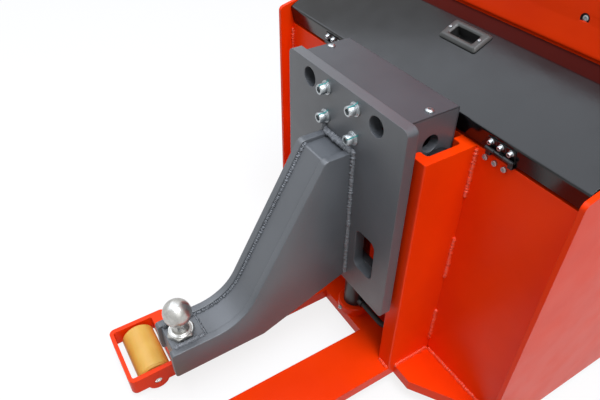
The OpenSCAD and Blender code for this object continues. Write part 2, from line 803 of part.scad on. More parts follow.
// Hinge leaf halves; the frame half holds the pin, the lid half turns on it
module knuckle(from, to, bore) {
    difference() {
        bar_y([hinge_x, from, hinge_z], knuckle_r, to - from);
        if (bore) bar_y([hinge_x, from - cut, hinge_z], hinge_pin_r + run_fit, to - from + 2 * cut);
    }
}
module hinge_frame_leaves() {
    third = hinge_w / 3;
    riser = hinge_leaf_t / 2;
    painted("black") both_sides() translate([0, hinge_pitch / 2 - hinge_w / 2, 0]) {
        block([hinge_x - riser, 0, mast_top], [bulkhead_x + hinge_leaf_h, hinge_w, mast_top + hinge_leaf_t]);
        for (y = [0, 2 * third]) {
            knuckle(y, y + third, false);
            block([hinge_x - riser, y, mast_top], [hinge_x + riser, y + third, hinge_z]);
        }
        bar_y([hinge_x, 0, hinge_z], hinge_pin_r, hinge_w);
    }
}

// The lid's rear face: x up the sheet from its lower edge, z square to it and outwards
module on_flange() {
    translate([lid_x, 0, lid_low]) rotate([0, -flange_a, 0]) children();
}
module hinge_lid_leaves() {
    third = hinge_w / 3;
    leaf_low = hinge_s + knuckle_r + 2 * near_gap;
    from = third + near_gap;
    to = 2 * third - near_gap;
    painted("black") both_sides() translate([0, hinge_pitch / 2 - hinge_w / 2, 0]) on_flange() {
        block([leaf_low, 0, 0], [hinge_leaf_h, hinge_w, hinge_leaf_t]);
        block([hinge_s - knuckle_r / 2, from + near_gap, 0],
            [leaf_low + cut, to - near_gap, hinge_leaf_t - 2 * near_gap]);
        difference() {
            bar_y([hinge_s, from, hinge_n], knuckle_r, to - from);
            bar_y([hinge_s, 0, hinge_n], hinge_pin_r + run_fit, hinge_w);
        }
    }
}

// Lid: folded sheet with a down-turned rear face, a slope and a level front strip
lid_line = [[lid_x, lid_low], [lid_x - lid_lean, lid_rear_z], [crease_x, crease_z], [lid_end_x, crease_z],
    [lid_end_x, crease_z - lid_skirt]];
module battery_lid() {
    low_corners = [[crease_x, crease_z - lid_skirt], [lid_x + lid_skirt, lid_low]];
    outer = concat(lid_line, low_corners);
    inner_line = shifted(lid_line, -lid_t);
    inner_path = concat(inner_line, low_corners);
    inner = [for (i = [0 : 6]) inner_path[i] - (i > 0 && i < 4 ? [0, 0] : [0, lid_t])];
    crease_r = 2 * lid_t;
    painted("#202226") difference() {
        upright(rounded(outer, [0, lid_edge_r, crease_r, lid_t, 0, lid_skirt, 0]), -lid_y, lid_y);
        upright(rounded(inner, [0, lid_edge_r - lid_t, crease_r - lid_t, 0, 0, 0, 0]),
            -lid_y + lid_t, lid_y - lid_t);
        on_slope() block([-pocket_d / 2, -pocket_w / 2, -lid_skirt], [pocket_d / 2, pocket_w / 2, lid_skirt]);
    }
}

// The place of the handle: its middle on the slope, z square to the sheet
pocket_w = 56;
pocket_d = 24;
bezel_h = 7;
crease_gap = 6;
module on_slope() {
    along = norm([slope_run, slope_rise]) - bezel_d / 2 - crease_gap;
    translate([lid_x - lid_lean, -bezel_off, lid_rear_z]) rotate([0, -slope_a, 0]) translate([along, 0, 0])
        children();
}

// Flush handle: a chamfered bezel with a deep finger pocket
module lid_handle() {
    pocket_h = 20;
    wall = 2;
    d = bezel_d / 2;
    w = bezel_w / 2;
    step = 0.7 * bezel_h;
    function rim(a) = rounded(rect(-a, near_gap, a, bezel_h), [0, 0, step, step]);
    painted("dimgray") on_slope() difference() {
        union() {
            intersection() {
                upright(rim(d), -w, w);
                across(rim(w), -d, d);
                flat(rounded(rect(-d, -w, d, w), step), 0, bezel_h);
            }
            block([-pocket_d / 2 + near_gap, -pocket_w / 2 + near_gap, -pocket_h],
                [pocket_d / 2 - near_gap, pocket_w / 2 - near_gap, bezel_h / 2]);
        }
        block([-pocket_d / 2 + wall, -pocket_w / 2 + wall, -pocket_h + wall],
            [pocket_d / 2 - wall, pocket_w / 2 - wall, bezel_h + cut]);
    }
}

module lid_screws() {
    handle_screw_r = 2.5;
    lid_screw_s = (hinge_s + knuckle_r + hinge_leaf_h) / 2;
    painted("silver") {
        both_sides() for (k = [-1 : 1])
            on_flange() translate([lid_screw_s, hinge_pitch / 2 + k * hinge_screw_pitch, hinge_leaf_t])
                socket_head(hinge_head_r, 2 * hinge_screw_r);
        on_slope() both_sides() translate([0, (pocket_w + bezel_w) / 4, bezel_h])
            socket_head(handle_screw_r, 0.6 * handle_screw_r);
    }
}

// Carriage plate with two round holes, four screw holes and two rounded windows
module carriage_plate() {
    half = plate_w / 2;
    window_x = window_w / 2;
    window_z = window_h / 2;
    function plate_outline() = rounded(
        rect(-half, plate_z, half, plate_top), plate_r);
    painted("#4b4e50") difference() {
        across(plate_outline(), 0, plate_t);
        both_sides() {
            bar_x([-cut, plate_hole_pitch / 2, plate_top - plate_hole_drop], plate_hole_r, plate_t + 2 * cut);
            for (k = [0 : 1])
                bar_x([-cut, screw_pitch_y / 2, plate_top - screw_drop - k * screw_pitch_z],
                    screw_r + run_fit, plate_t + 2 * cut);
            translate([0, window_pitch / 2, plate_z + window_rise])
                across(rounded(rect(-window_x, -window_z, window_x, window_z), window_x / 2),
                    -cut, plate_t + cut);
        }
    }
}

// Carriage sides with roller axles, joined by two cross members
axle_r = 12.5;
upper_z = mast_top - 37;
lower_z = plate_z + 50;
box_x = mast_x + channel_d - flange_t - 0.5;
module carriage_frame() {
    side_low = plate_z + 6;
    side_top = cover_top - cover_t - near_gap;
    hole_r = 15;
    beam_h = 25;
    lower_h = 60;
    outline = [
        [plate_t, side_low], [box_x - 3 * axle_r, side_low], [box_x, side_low + 3 * axle_r],
        [box_x, side_top], [plate_t, side_top]
    ];
    painted("#4b4e50") {
        both_sides() {
            difference() {
                upright(rounded(outline, [0, axle_r, axle_r, cover_t / 2, 0]), box_y - box_t, box_y);
                bar_y([channel_mid_x - axle_r, box_y - box_t - cut, plate_top - 3.5 * hole_r],
                    hole_r, box_t + 2 * cut);
            }
            for (z = [upper_z, lower_z])
                bar_y([channel_mid_x, box_y, z], axle_r, leg_out - web_t - box_y - 1);
        }
        block([plate_t, -box_y + box_t, beam_z], [box_x, box_y - box_t, beam_z + beam_h]);
        block([plate_t, -box_y + box_t, side_low + cut],
            [plate_t + box_t, box_y - box_t, side_low + lower_h]);
    }
}

// Folded sheet over the carriage box
cover_screw_x = 66;
cover_drop = 3;
cover_flange_h = 126;
cover_top = plate_top - cover_drop;
module carriage_cover() {
    end_x = box_x + cover_t;
    line = [[plate_t, cover_top], [end_x, cover_top], [end_x, cover_top - cover_flange_h]];
    inner = shifted(line, -cover_t);
    painted("#4b4e50") upright(rounded(concat(line, reversed(inner)),
        [0, 1.3 * cover_t, 0, 0, 0.3 * cover_t, 0]), -box_y, box_y);
}

// Socket screws with washers on the plate, button heads on the cover
module carriage_screws() {
    painted("gainsboro") {
        both_sides() {
            for (k = [0 : 1])
                translate([0, screw_pitch_y / 2, plate_top - screw_drop - k * screw_pitch_z])
                    rotate([0, -90, 0]) {
                    bar_z([0, 0, 0], washer_r, washer_t);
                    bar_z([0, 0, washer_t], 0.85 * washer_r, 0.7 * washer_t);
                    translate([0, 0, 1.7 * washer_t]) socket_head(socket_head_r, socket_head_h);
                    bar_z([0, 0, -plate_t], screw_r, plate_t);
                }
            translate([cover_screw_x, box_y - 0.8 * box_t, cover_top]) difference() {
                rotate_extrude() polygon([[0, 0], [button_r, 0], [0.85 * button_r, 0.6 * button_h],
                    [0.5 * button_r, button_h], [0, button_h]]);
                translate([0, 0, button_h / 2]) cylinder(r = 0.3 * button_r, h = button_h, $fn = 6);
            }
        }
    }
}

// Carriage rollers in the channels
module roller_pair(z) {
    width = leg_out - web_t - box_y - 3;
    bevel = 3;
    painted("#1c1c1e") both_sides()
        translate([channel_mid_x, box_y + 1.5 + width / 2, z]) rotate([90, 0, 0]) rotate_extrude() polygon([
            [axle_r + run_fit, -width / 2], [car_roller_r - bevel, -width / 2],
            [car_roller_r, bevel - width / 2], [car_roller_r, width / 2 - bevel],
            [car_roller_r - bevel, width / 2], [axle_r + run_fit, width / 2]
        ]);
}
module upper_rollers() {
    roller_pair(upper_z);
}
module lower_rollers() {
    roller_pair(lower_z);
}

// Gooseneck outline: level tail, concave bend, steep arm and short level top
neck_end_z = neck_low_z + neck_end_h;
neck_top_z = neck_low_z + neck_rise;
bend_x = -0.62 * neck_reach;
arm_x = -0.15 * neck_reach;
neck_line = [[-neck_reach, neck_end_z], [bend_x, neck_end_z], [arm_x, neck_top_z], [0, neck_top_z]];
belly_line = [
    [0, neck_low_z + 0.197 * neck_rise], [-0.507 * neck_reach, neck_low_z + 0.006 * neck_rise],
    [-neck_reach, neck_low_z]
];
neck_side_y = neck_w / 2 - neck_t;
block_x = -neck_reach + 2 * ball_in;
block_top = neck_end_z - web_recess / 2;
module gooseneck_sides() {
    radii = [6, bend_r, 12, 0, 0, 20, 6];
    painted("#4b4e50") both_sides()
        upright(rounded(concat(neck_line, belly_line), radii), neck_side_y, neck_w / 2);
}

// Web plates between the sides: the recessed top, the belly and the block under the ball
module gooseneck_webs() {
    deep = web_recess + neck_t;
    top_band = band(neck_line, -web_recess, -deep);
    belly_band = band(belly_line, -web_recess, -deep);
    painted("#4b4e50") {
        intersection() {
            upright(rounded(top_band, [0, bend_r + web_recess, 4, 0, 0, 4, bend_r + deep, 0]),
                -neck_side_y, neck_side_y);
            block([block_x, -neck_w, 0], [0, neck_w, plate_top]);
        }
        intersection() {
            upright(belly_band, -neck_side_y, neck_side_y);
            block([block_x, -neck_w, 0], [0, neck_w, plate_top]);
        }
        block([-neck_reach + ball_in / 5, -neck_side_y, neck_low_z + web_recess / 2],
            [block_x, neck_side_y, block_top]);
    }
}

// Tow ball: turned in one piece with its neck and hexagon, a flat on top
module tow_ball() {
    neck_r = 0.56 * ball_r;
    hex_h = 0.44 * ball_r;
    bevel = ball_r / 8;
    centre = neck_end_z + ball_rise - block_top;
    flat_r = 0.3 * ball_r;
    steps = 24;
    start = -acos(neck_r / ball_r);
    stop = acos(flat_r / ball_r);
    painted("silver") translate([-neck_reach + ball_in, 0, block_top]) {
        rotate_extrude($fn = 64) polygon(concat(
            [[0, 0], [neck_r, 0], [neck_r, hex_h + bevel]],
            [for (i = [0 : steps]) let (a = start + (stop - start) * i / steps)
                [ball_r * cos(a), centre + ball_r * sin(a)]],
            [[0, centre + ball_r * sin(stop)]]));
        intersection() {
            cylinder(h = hex_h, r = ball_r, $fn = 6);
            cylinder(h = hex_h, r1 = ball_r + hex_h - bevel, r2 = ball_r - bevel);
        }
    }
}

// Weld beads of the gooseneck: to the carriage plate, round the block and across the web
module gooseneck_welds() {
    leg = 5;
    wide = neck_side_y - 0.88 * ball_r;
    rise = neck_end_z - block_top;
    painted("#5a5d60") {
        both_sides() {
            flat(bead([0, neck_w / 2], -leg, leg), belly_line[0][1] + leg, neck_top_z);
            across(bead([neck_side_y, block_top], -wide, rise), -neck_reach + ball_in / 5, block_x);
        }
        upright(bead([0, neck_top_z], -leg, leg), -neck_w / 2, neck_w / 2);
        upright(bead([block_x, block_top - rise], leg, rise), -neck_side_y, neck_side_y);
    }
}

// Platform pan over the base plate, with the pedal's opening and hinge pin
pedal_x = platform_x + platform_d / 2;
pedal_pin_r = 4;
pedal_pin_z = platform_top - 12;
pedal_stop_z = platform_top - 14;
pedal_hinge_x = pedal_x + pedal_d / 2 + 2;
module platform_plate() {
    wall = 4;
    open_from = [pedal_x - pedal_d / 2 - pedal_gap, -pedal_w / 2 - pedal_gap, base_top - cut];
    open_to = [pedal_hinge_x + 3 * pedal_pin_r, pedal_w / 2 + pedal_gap, platform_top + cut];
    painted("#3a3c3e") {
        difference() {
            union() {
                difference() {
                    block([platform_x + near_gap, -in_y + near_gap, base_top],
                        [toe_x - near_gap, in_y - near_gap, platform_top]);
                    block([platform_x + wall, -in_y + wall, base_top - cut],
                        [toe_x - wall, in_y - wall, platform_top - wall]);
                }
                block(open_from + [-wall, -wall, cut], open_to + [wall, wall, -wall - cut]);
            }
            block(open_from, open_to);
        }
        both_sides()
            bar_y([pedal_hinge_x, open_to[1] - 9 * wall, pedal_pin_z], pedal_pin_r, 9 * wall);
        block(open_from + [0, pedal_w / 3, cut], [open_from[0] + 4 * wall, pedal_w / 6, pedal_stop_z]);
    }
}

// Rubber mat with long ribs, cut out for the pedal
module platform_mat() {
    margin = 2;
    rib_h = 2;
    rib_n = 22;
    open_x = pedal_d / 2 + pedal_gap;
    open_y = pedal_w / 2 + pedal_gap;
    half = in_y - margin;
    pitch = 2 * half / rib_n;
    painted("#1d1e1f") difference() {
        union() {
            block([platform_x + margin, -half, platform_top], [toe_x - margin, half, mat_top - rib_h]);
            for (i = [0 : rib_n - 1])
                block([platform_x + 4 * margin, -half + (i + 0.2) * pitch, mat_top - rib_h],
                    [toe_x - 4 * margin, -half + (i + 0.8) * pitch, mat_top]);
        }
        block([pedal_x - open_x, -open_y, base_top],
            [pedal_hinge_x + 3 * pedal_pin_r, open_y, mat_top + cut]);
    }
}

// Presence pedal: plate with a rubber top on a hinge knuckle
module presence_pedal() {
    plate = 4;
    top = mat_top + plate / 4;
    far = pedal_hinge_x - pedal_pin_r - 0.75 * plate;
    arm_y = pedal_w / 2 - 3 * plate;
    rib = 2;
    ribs = 8;
    pitch = pedal_w / ribs;
    painted("#1d1e1f") {
        difference() {
            union() {
                block([pedal_x - pedal_d / 2, -pedal_w / 2, platform_top - plate],
                    [far, pedal_w / 2, top - rib]);
                block([far - plate, -arm_y, pedal_pin_z - plate / 2],
                    [pedal_hinge_x, arm_y, pedal_pin_z + 0.75 * plate]);
                bar_y([pedal_hinge_x, -arm_y, pedal_pin_z], pedal_pin_r + plate, 2 * arm_y);
                block([far - plate, -arm_y, pedal_pin_z - plate / 2], [far, arm_y, platform_top]);
            }
            bar_y([pedal_hinge_x, -pedal_w / 2, pedal_pin_z], pedal_pin_r + run_fit, pedal_w);
        }
        for (i = [0 : ribs - 1])
            block([pedal_x - pedal_d / 2 + rib, -pedal_w / 2 + (i + 0.2) * pitch, top - rib],
                [far - rib, -pedal_w / 2 + (i + 0.8) * pitch, top]);
    }
}

// Toe panel between the platform and the drive compartment
module toe_panel() {
    half = in_y - near_gap;
    top = hood_top - hood_t - near_gap;
    face = rect(-half, base_top, half, top);
    painted("#3a3c3e") across(rounded(face, [0, 0, hood_r / 4, hood_r / 4]), toe_x, toe_x + toe_t);
}

// Front frame: folded wall inside the hood, motor plate and caster shelves
frame_x = toe_x + toe_t;
frame_end_x = side_end_x;
caster_x = drive_x;
caster_y = in_y - caster_in;
module front_frame() {
    top = motor_plate_z + frame_t;
    shelf_in = caster_y - 1.24 * caster_r;
    hole_r = head_r + 0.3 * frame_t;
    half = in_y - near_gap;
    front_half = body_w / 2 - hood_r / 3;
    left = [[frame_x, half], [hood_x - hood_r, half], [frame_end_x, front_half]];
    plan = concat(left, [for (p = reversed(left)) [p[0], -p[1]]]);
    painted("#3a3c3e") difference() {
        union() {
            flat(band(plan, 0, -frame_t), shelf_z, top);
            block([frame_end_x - frame_t, -front_half, base_clear], [frame_end_x, front_half, top]);
            intersection() {
                flat(plan, 0, top);
                union() {
                    both_sides() {
                        block([frame_x, shelf_in, shelf_z], [frame_end_x, half, shelf_z + frame_t]);
                        block([frame_x, shelf_in, shelf_z], [frame_end_x, shelf_in + frame_t, top]);
                    }
                    block([frame_x, -half, motor_plate_z], [frame_end_x, half, top]);
                }
            }
        }
        bar_z([drive_x, 0, motor_plate_z - cut], hole_r, frame_t + 2 * cut);
        both_sides() bar_z([caster_x, caster_y, shelf_z - cut], king_r + run_fit, frame_t + 2 * cut);
    }
}

// Turntable bearing under the motor plate
ring_h = 22;
module turntable_ring() {
    ring_r = head_r + 24;
    painted("gray") translate([drive_x, 0, motor_plate_z - ring_h]) rotate_extrude($fn = 72) polygon([
        [head_r + run_fit, 0], [ring_r - 3, 0], [ring_r, 3], [ring_r, ring_h], [head_r + run_fit, ring_h]
    ]);
}

// Gearbox: turning head, side casting and output shaft
module drive_gearbox() {
    low = motor_plate_z - ring_h - near_gap;
    flange_h = 12;
    leg_in_y = drive_w / 2 + 7;
    leg_out_y = leg_in_y + 46;
    case_r = 58;
    top = motor_plate_z + frame_t - near_gap;
    case_line = [[-case_r, drive_r], [-0.8 * case_r, low - flange_h / 2], [0.8 * case_r, low - flange_h / 2],
        [case_r, drive_r]];
    painted("#54585c") translate([drive_x, 0, 0]) {
        translate([0, 0, low - flange_h]) rotate_extrude($fn = 72) polygon([
            [0, 0], [head_r + 6, 0], [head_r + 9, 3], [head_r + 9, flange_h], [head_r, flange_h],
            [head_r, top - low + flange_h], [0, top - low + flange_h]
        ]);
        upright(case_line, leg_in_y, leg_out_y);
        bar_y([0, leg_in_y, drive_r], case_r, leg_out_y - leg_in_y);
        bar_y([0, leg_out_y, drive_r], 0.72 * case_r, 6);
        for (a = [0 : 60 : 300])
            bar_y([0.84 * case_r * cos(a), leg_out_y, drive_r + 0.84 * case_r * sin(a)], 5, 4);
        bar_y([0, -drive_w / 2, drive_r], axle_r, drive_w / 2 + leg_in_y);
    }
}

// Drive motor with cooling fins, terminal box and brake
module drive_motor() {
    low = motor_plate_z + frame_t - near_gap;
    fin_n = 9;
    fin_pitch = 0.7 * motor_h / fin_n;
    brake_r = 0.68 * motor_r;
    painted("#2c2e30") translate([drive_x, 0, low]) {
        rotate_extrude($fn = 64) polygon(concat(
            [[0, 0], [motor_r, 0], [motor_r, 0.15 * motor_h]],
            [for (i = [0 : fin_n - 1]) each let (z = 0.15 * motor_h + i * fin_pitch)
                [[0.94 * motor_r, z], [0.94 * motor_r, z + fin_pitch / 2],
                 [motor_r, z + fin_pitch / 2], [motor_r, z + fin_pitch]]],
            [[motor_r, motor_h], [brake_r, motor_h], [brake_r, 1.22 * motor_h],
             [0.9 * brake_r, 1.26 * motor_h], [0, 1.26 * motor_h]]));
        block([-motor_r - 18, -motor_r / 2, 0.3 * motor_h], [-0.7 * motor_r, motor_r / 2, 0.7 * motor_h]);
    }
}

// Drive wheel: steel hub with a polyurethane tyre
module drive_wheel() {
    half = drive_w / 2;
    dish = drive_w / 5;
    hub = 2.4 * axle_r;
    rim = 0.72 * drive_r;
    bevel = 5;
    painted("#c9a23a") translate([drive_x, 0, drive_r]) rotate([90, 0, 0]) difference() {
        rotate_extrude($fn = 72) polygon([
            [axle_r + run_fit, -half], [hub, -half], [hub, dish - half], [rim, dish - half], [rim, -half],
            [drive_r - bevel, -half], [drive_r, bevel - half], [drive_r, half - bevel],
            [drive_r - bevel, half], [rim, half], [rim, half - dish], [hub, half - dish], [hub, half],
            [axle_r + run_fit, half]
        ]);
        for (a = [0 : 72 : 288])
            bar_z([0.55 * drive_r * cos(a), 0.55 * drive_r * sin(a), -half], 8, drive_w);
    }
}

// Casters: king pin through the shelf, fork and wheel
king_r = 8;
caster_axle_r = 6;
module caster_fork() {
    crown_t = 10;
    crown_z = shelf_z - near_gap - crown_t;
    fork_t = 6;
    fork_in = caster_w / 2 + 3;
    crown_r = fork_in + fork_t;
    fork = [
        [-crown_r + 6, crown_z + crown_t], [crown_r - 10, crown_z + crown_t], [crown_r - 14, crown_z - 6],
        [-caster_trail + 13, caster_r - 8], [-caster_trail, caster_r - 14], [-caster_trail - 13, caster_r - 4]
    ];
    painted("silver") translate([caster_x, caster_y, 0]) {
        bar_z([0, 0, crown_z], crown_r, crown_t);
        bar_z([0, 0, crown_z], king_r, crown_t + frame_t + 3 * near_gap + 10);
        bar_z([0, 0, shelf_z + frame_t + near_gap], 1.8 * king_r, 8);
        both_sides() upright(rounded(fork, [0, 0, 6, 6, 6, 6]), fork_in, fork_in + fork_t);
        bar_y([-caster_trail, -fork_in, caster_r], caster_axle_r, 2 * fork_in);
        both_sides() bar_y([-caster_trail, fork_in + fork_t, caster_r], 1.6 * caster_axle_r, 5);
    }
}
module caster_wheel() {
    half = caster_w / 2;
    hub_half = half + 2.5;
    hub = 2.2 * caster_axle_r;
    rim = 0.7 * caster_r;
    dish = 0.12 * caster_r;
    painted("#33363a") translate([caster_x - caster_trail, caster_y, caster_r]) rotate([90, 0, 0])
        rotate_extrude() polygon([
            [caster_axle_r + run_fit, -hub_half], [hub, -hub_half], [hub, dish - half],
            [rim, dish - half], [rim, -half], [caster_r - dish, -half], [caster_r, dish - half],
            [caster_r, half - dish], [caster_r - dish, half], [rim, half],
            [rim, half - dish], [hub, half - dish], [hub, hub_half], [caster_axle_r + run_fit, hub_half]
        ]);
}
module caster_fork_left() {
    caster_fork();
}
module caster_fork_right() {
    mirror([0, 1, 0]) caster_fork();
}
module caster_wheel_left() {
    caster_wheel();
}
module caster_wheel_right() {
    mirror([0, 1, 0]) caster_wheel();
}

// Hood: rounded in plan, upright below and sloped above, hollow and open below
function hood_plan(inset) = rounded(rect(toe_x, inset - body_w / 2, hood_x - inset, body_w / 2 - inset),
    [0, hood_r - inset, hood_r - inset, 0], 10);
hood_line = [
    [toe_x, hood_low], [hood_x, hood_low], [hood_x, 0.6 * hood_top],
    [hood_x - 0.25 * hood_d, 0.93 * hood_top],
    [toe_x + 0.36 * hood_d, hood_top], [toe_x, hood_top]
];
module front_hood() {
    inner_line = [
        [toe_x - cut, hood_low - cut], [hood_x - hood_t, hood_low - cut], [hood_x - hood_t, 0.6 * hood_top],
        [hood_x - 0.25 * hood_d - hood_t, 0.93 * hood_top - hood_t],
        [toe_x + 0.36 * hood_d, hood_top - hood_t], [toe_x - cut, hood_top - hood_t]
    ];
    bend = [0, 0, hood_r, hood_r, hood_r, 0];
    painted("orangered") difference() {
        intersection() {
            linear_extrude(hood_top + cut) polygon(hood_plan(near_gap));
            upright(rounded(hood_line, bend, 10), -body_w, body_w);
        }
        intersection() {
            linear_extrude(hood_top) polygon([for (p = hood_plan(near_gap + hood_t))
                [p[0] == toe_x ? toe_x - cut : p[0], p[1]]]);
            upright(rounded(inner_line, bend, 10), -body_w, body_w);
        }
        both_sides() bar_x([hood_x - hood_r, lamp_y, lamp_z], lamp_r + near_gap, hood_r + cut);
    }
}

// Headlamps: round housings set in the hood's upright face
lamp_r = 38;
lamp_y = 190;
lamp_z = 430;
module headlamps() {
    depth = 34;
    proud = 3;
    painted("whitesmoke") both_sides()
        translate([hood_x - near_gap, lamp_y, lamp_z]) rotate([0, 90, 0])
        rotate_extrude() polygon([
            [0, -depth], [0.7 * lamp_r, -depth], [lamp_r, -depth / 2], [lamp_r, 0], [lamp_r, proud],
            [lamp_r - proud, proud], [0.5 * lamp_r, 0.8 * proud], [0, proud]
        ]);
}

// Bumper: bent flat bar with two ribs back to the front frame
module bumper() {
    low = side_clear + 30;
    in_edge = body_w / 2 - bumper_t;
    outer_r = hood_r / 3 - cut;
    inner_r = hood_r / 3 - bumper_t;
    outer = rounded(rect(side_end_x, -body_w / 2, hood_x + bumper_t, body_w / 2),
        [0, outer_r, outer_r, 0], 8);
    inner = rounded(rect(side_end_x - cut, -in_edge, hood_x, in_edge), [0, inner_r, inner_r, 0], 8);
    painted("#1c1d1f") {
        translate([0, 0, low]) linear_extrude(bumper_h) difference() {
            polygon(outer);
            polygon(inner);
        }
        for (z = [low, low + bumper_h - frame_t])
            block([frame_end_x, -in_edge - cut, z], [hood_x + cut, in_edge + cut, z + frame_t]);
    }
}

// Controller with cooling fins on the toe panel
module controller() {
    w = 240;
    h = 180;
    d = 50;
    fins = 12;
    pitch = w / fins;
    z = 0.62 * hood_top;
    painted("#2b2d2f") {
        block([frame_x, -w / 2, z], [frame_x + d, w / 2, z + h]);
        for (i = [0 : fins - 1])
            block([frame_x + d, -w / 2 + (i + 0.3) * pitch, z],
                [frame_x + 1.4 * d, -w / 2 + (i + 0.7) * pitch, z + 0.8 * h]);
        for (y = [-0.35, -0.15, 0.15, 0.35])
            bar_z([frame_x + d / 2, y * w, z - 12], 6, 12);
    }
}

// Console: a moulded pod whose top faces the driver, with seats for the controls
console_x = toe_x + 0.6 * console_d;
console_front = toe_x - 0.22 * console_d;
console_back = console_front + console_d;
column_foot = [toe_x + 0.26 * console_d, 0, hood_top + 0.72 * console_h];
up_dir = [-sin(column_lean), 0, cos(column_lean)];
module on_column() {
    translate(column_foot) rotate([0, -column_lean, 0]) children();
}
module console() {
    half = console_w / 2;
    drop = (column_foot[0] - console_front) * tan(column_lean);
    rise = (console_back - column_foot[0]) * tan(column_lean);
    line = [
        [toe_x - near_gap, hood_top], [toe_x - near_gap, hood_top - 30], [console_front + 20, hood_top - 10],
        [console_front, column_foot[2] - drop], [console_back, column_foot[2] + rise],
        [console_back + 40, hood_top + 30], [console_back + 40, hood_top]
    ];
    back = console_back + 40;
    plan = rect(console_front, -half, back, half);
    dash_w = 90;
    dash_d = 46;
    painted("#232527") difference() {
        intersection() {
            upright(rounded(line, [0, 0, 8, 8, 12, 12, 0]), -half, half);
            linear_extrude(2 * hood_top) polygon(rounded(plan, [30, 50, 50, 30]));
        }
        on_column() bar_z([0, 0, -0.6 * console_h], shaft_r + run_fit, console_h);
        on_column() bar_z([0, stop_y, -stop_h], stop_stem_r + run_fit, 2 * stop_h);
        on_column() bar_z([0, -stop_y, -stop_h], key_r + run_fit, 2 * stop_h);
        on_column() block([console_d / 4, -dash_w / 2, -2], [console_d / 4 + dash_d, dash_w / 2, console_h]);
    }
}

// Steering handle: shaft, hub and cross tube; the grips sit on its ends
tube_r = 12.5;
hub_top = hub_rise + hub_h;
tube_z = hub_rise + 0.62 * hub_h;
module steering_handle() {
    sink = 0.5 * console_h;
    pocket = 8;
    painted("#2a2c2e") on_column() difference() {
        union() {
            bar_z([0, 0, -sink], shaft_r, sink + hub_rise);
            translate([0, 0, hub_rise]) rotate_extrude($fn = 64) polygon(rounded([
                [0, 0], [0.7 * hub_r, 0], [hub_r, 0.4 * hub_h], [hub_r, hub_h], [0, hub_h]
            ], [0, 8, 12, 9, 0]));
            bar_y([0, -grip_reach + 4, tube_z], tube_r, 2 * grip_reach - 8);
        }
        translate([0, 0, hub_top - pocket]) {
            bar_z([horn_x, 0, 0], horn_r + near_gap, pocket + cut);
            block([rocker_x - rocker_l / 2 - near_gap, -rocker_w / 2 - near_gap, 0],
                [rocker_x + rocker_l / 2 + near_gap, rocker_w / 2 + near_gap, pocket + cut]);
        }
        bar_y([rocker_x, -rocker_w, rocker_z], rocker_pin_r, 2 * rocker_w);
        bar_y([paddle_x, -2 * hub_r, paddle_z], paddle_pin_r + run_fit, 4 * hub_r);
    }
}

module handle_grips() {
    flange = 4;
    rings = 7;
    pitch = 0.7 * grip_l / rings;
    start = grip_reach - grip_l;
    groove_r = 0.93 * grip_r;
    painted("#151617") on_column() both_sides() translate([0, start, tube_z]) rotate([-90, 0, 0])
        difference() {
            rotate_extrude() polygon(concat(
                [[0, 0], [grip_r + flange, 0], [grip_r + flange, flange], [grip_r, 1.5 * flange]],
                [for (i = [0 : rings - 1]) each let (z = 0.14 * grip_l + i * pitch)
                    [[grip_r, z], [groove_r, z + 0.3 * pitch], [groove_r, z + 0.6 * pitch],
                     [grip_r, z + 0.9 * pitch]]],
                [[grip_r, 0.95 * grip_l], [grip_r - 3, grip_l], [0, grip_l]]));
            bar_z([0, 0, -cut], tube_r, grip_l - flange + cut);
        }
}

// Throttle: a shaft across the hub with a paddle at each end
paddle_x = -0.3 * hub_r;
paddle_z = hub_rise + 0.24 * hub_h;
paddle_pin_r = 5;
module throttle_paddle() {
    width = 0.58 * hub_r;
    reach = hub_r + 1.3 * width;
    wing_shares = [[-10.4, -0.8], [-9.6, 0.8], [-1.6, 1.4], [1.2, 1.2], [1.6, -1], [-1.6, -1.4]];
    painted("#d8d9da") on_column() {
        bar_y([paddle_x, -reach + width / 2, paddle_z], paddle_pin_r, 2 * reach - width);
        both_sides() translate([paddle_x, 0, paddle_z])
            upright(rounded(paddle_pin_r * wing_shares, 0.7 * paddle_pin_r), reach - width, reach);
    }
}

horn_x = -0.42 * hub_r;
module horn_button() {
    seat = 2;
    proud = 6;
    low = 3.5;
    top = 8 + proud - seat;
    painted("gold") on_column() translate([horn_x, 0, hub_top - 8 + near_gap]) rotate_extrude()
        polygon(rounded(rect(0, low, horn_r, top), [0, 0, seat, 0]));
}

rocker_x = 0.35 * hub_r;
rocker_l = 24;
rocker_w = 16;
rocker_z = hub_top - 3;
rocker_pin_r = 1.6;
module lift_rocker() {
    half = rocker_l / 2 - 1;
    line = [[-half, -1], [half, -1], [half, 6], [0, 4.5], [-half, 6]];
    painted("#e9e9e9") on_column() translate([rocker_x, 0, rocker_z]) {
        upright(rounded(line, [1, 1, 1.5, 6, 1.5]), -rocker_w / 2, rocker_w / 2);
        bar_y([0, -rocker_w + 3, 0], rocker_pin_r - run_fit, 2 * rocker_w - 6);
    }
}

stop_y = 120;
stop_h = 26;
stop_stem_r = 9;
module emergency_button() {
    rest = 9;
    painted("red") on_column() translate([0, stop_y, 0]) {
        bar_z([0, 0, -stop_h + 8], stop_stem_r, stop_h - 8 + rest);
        translate([0, 0, rest]) rotate_extrude() polygon(rounded(
            [[0, 0], [0.8 * stop_r, 0], [stop_r, 4], [stop_r, 10], [0, 13]], [0, 0, 1, 4, 0]));
    }
}

key_r = 10;
module key_switch() {
    bow = 11;
    painted("silver") on_column() translate([0, -stop_y, 0]) {
        bar_z([0, 0, -stop_h + 8], key_r, stop_h - 8 + 3);
        upright(rect(-4, 3, 4, 12), -1, 1);
        translate([0, 0, 18]) rotate([90, 0, 0]) translate([0, 0, -1]) difference() {
            cylinder(r = bow, h = 2);
            translate([0, 4, -cut]) cylinder(r = 3, h = 2 + 2 * cut);
        }
    }
}

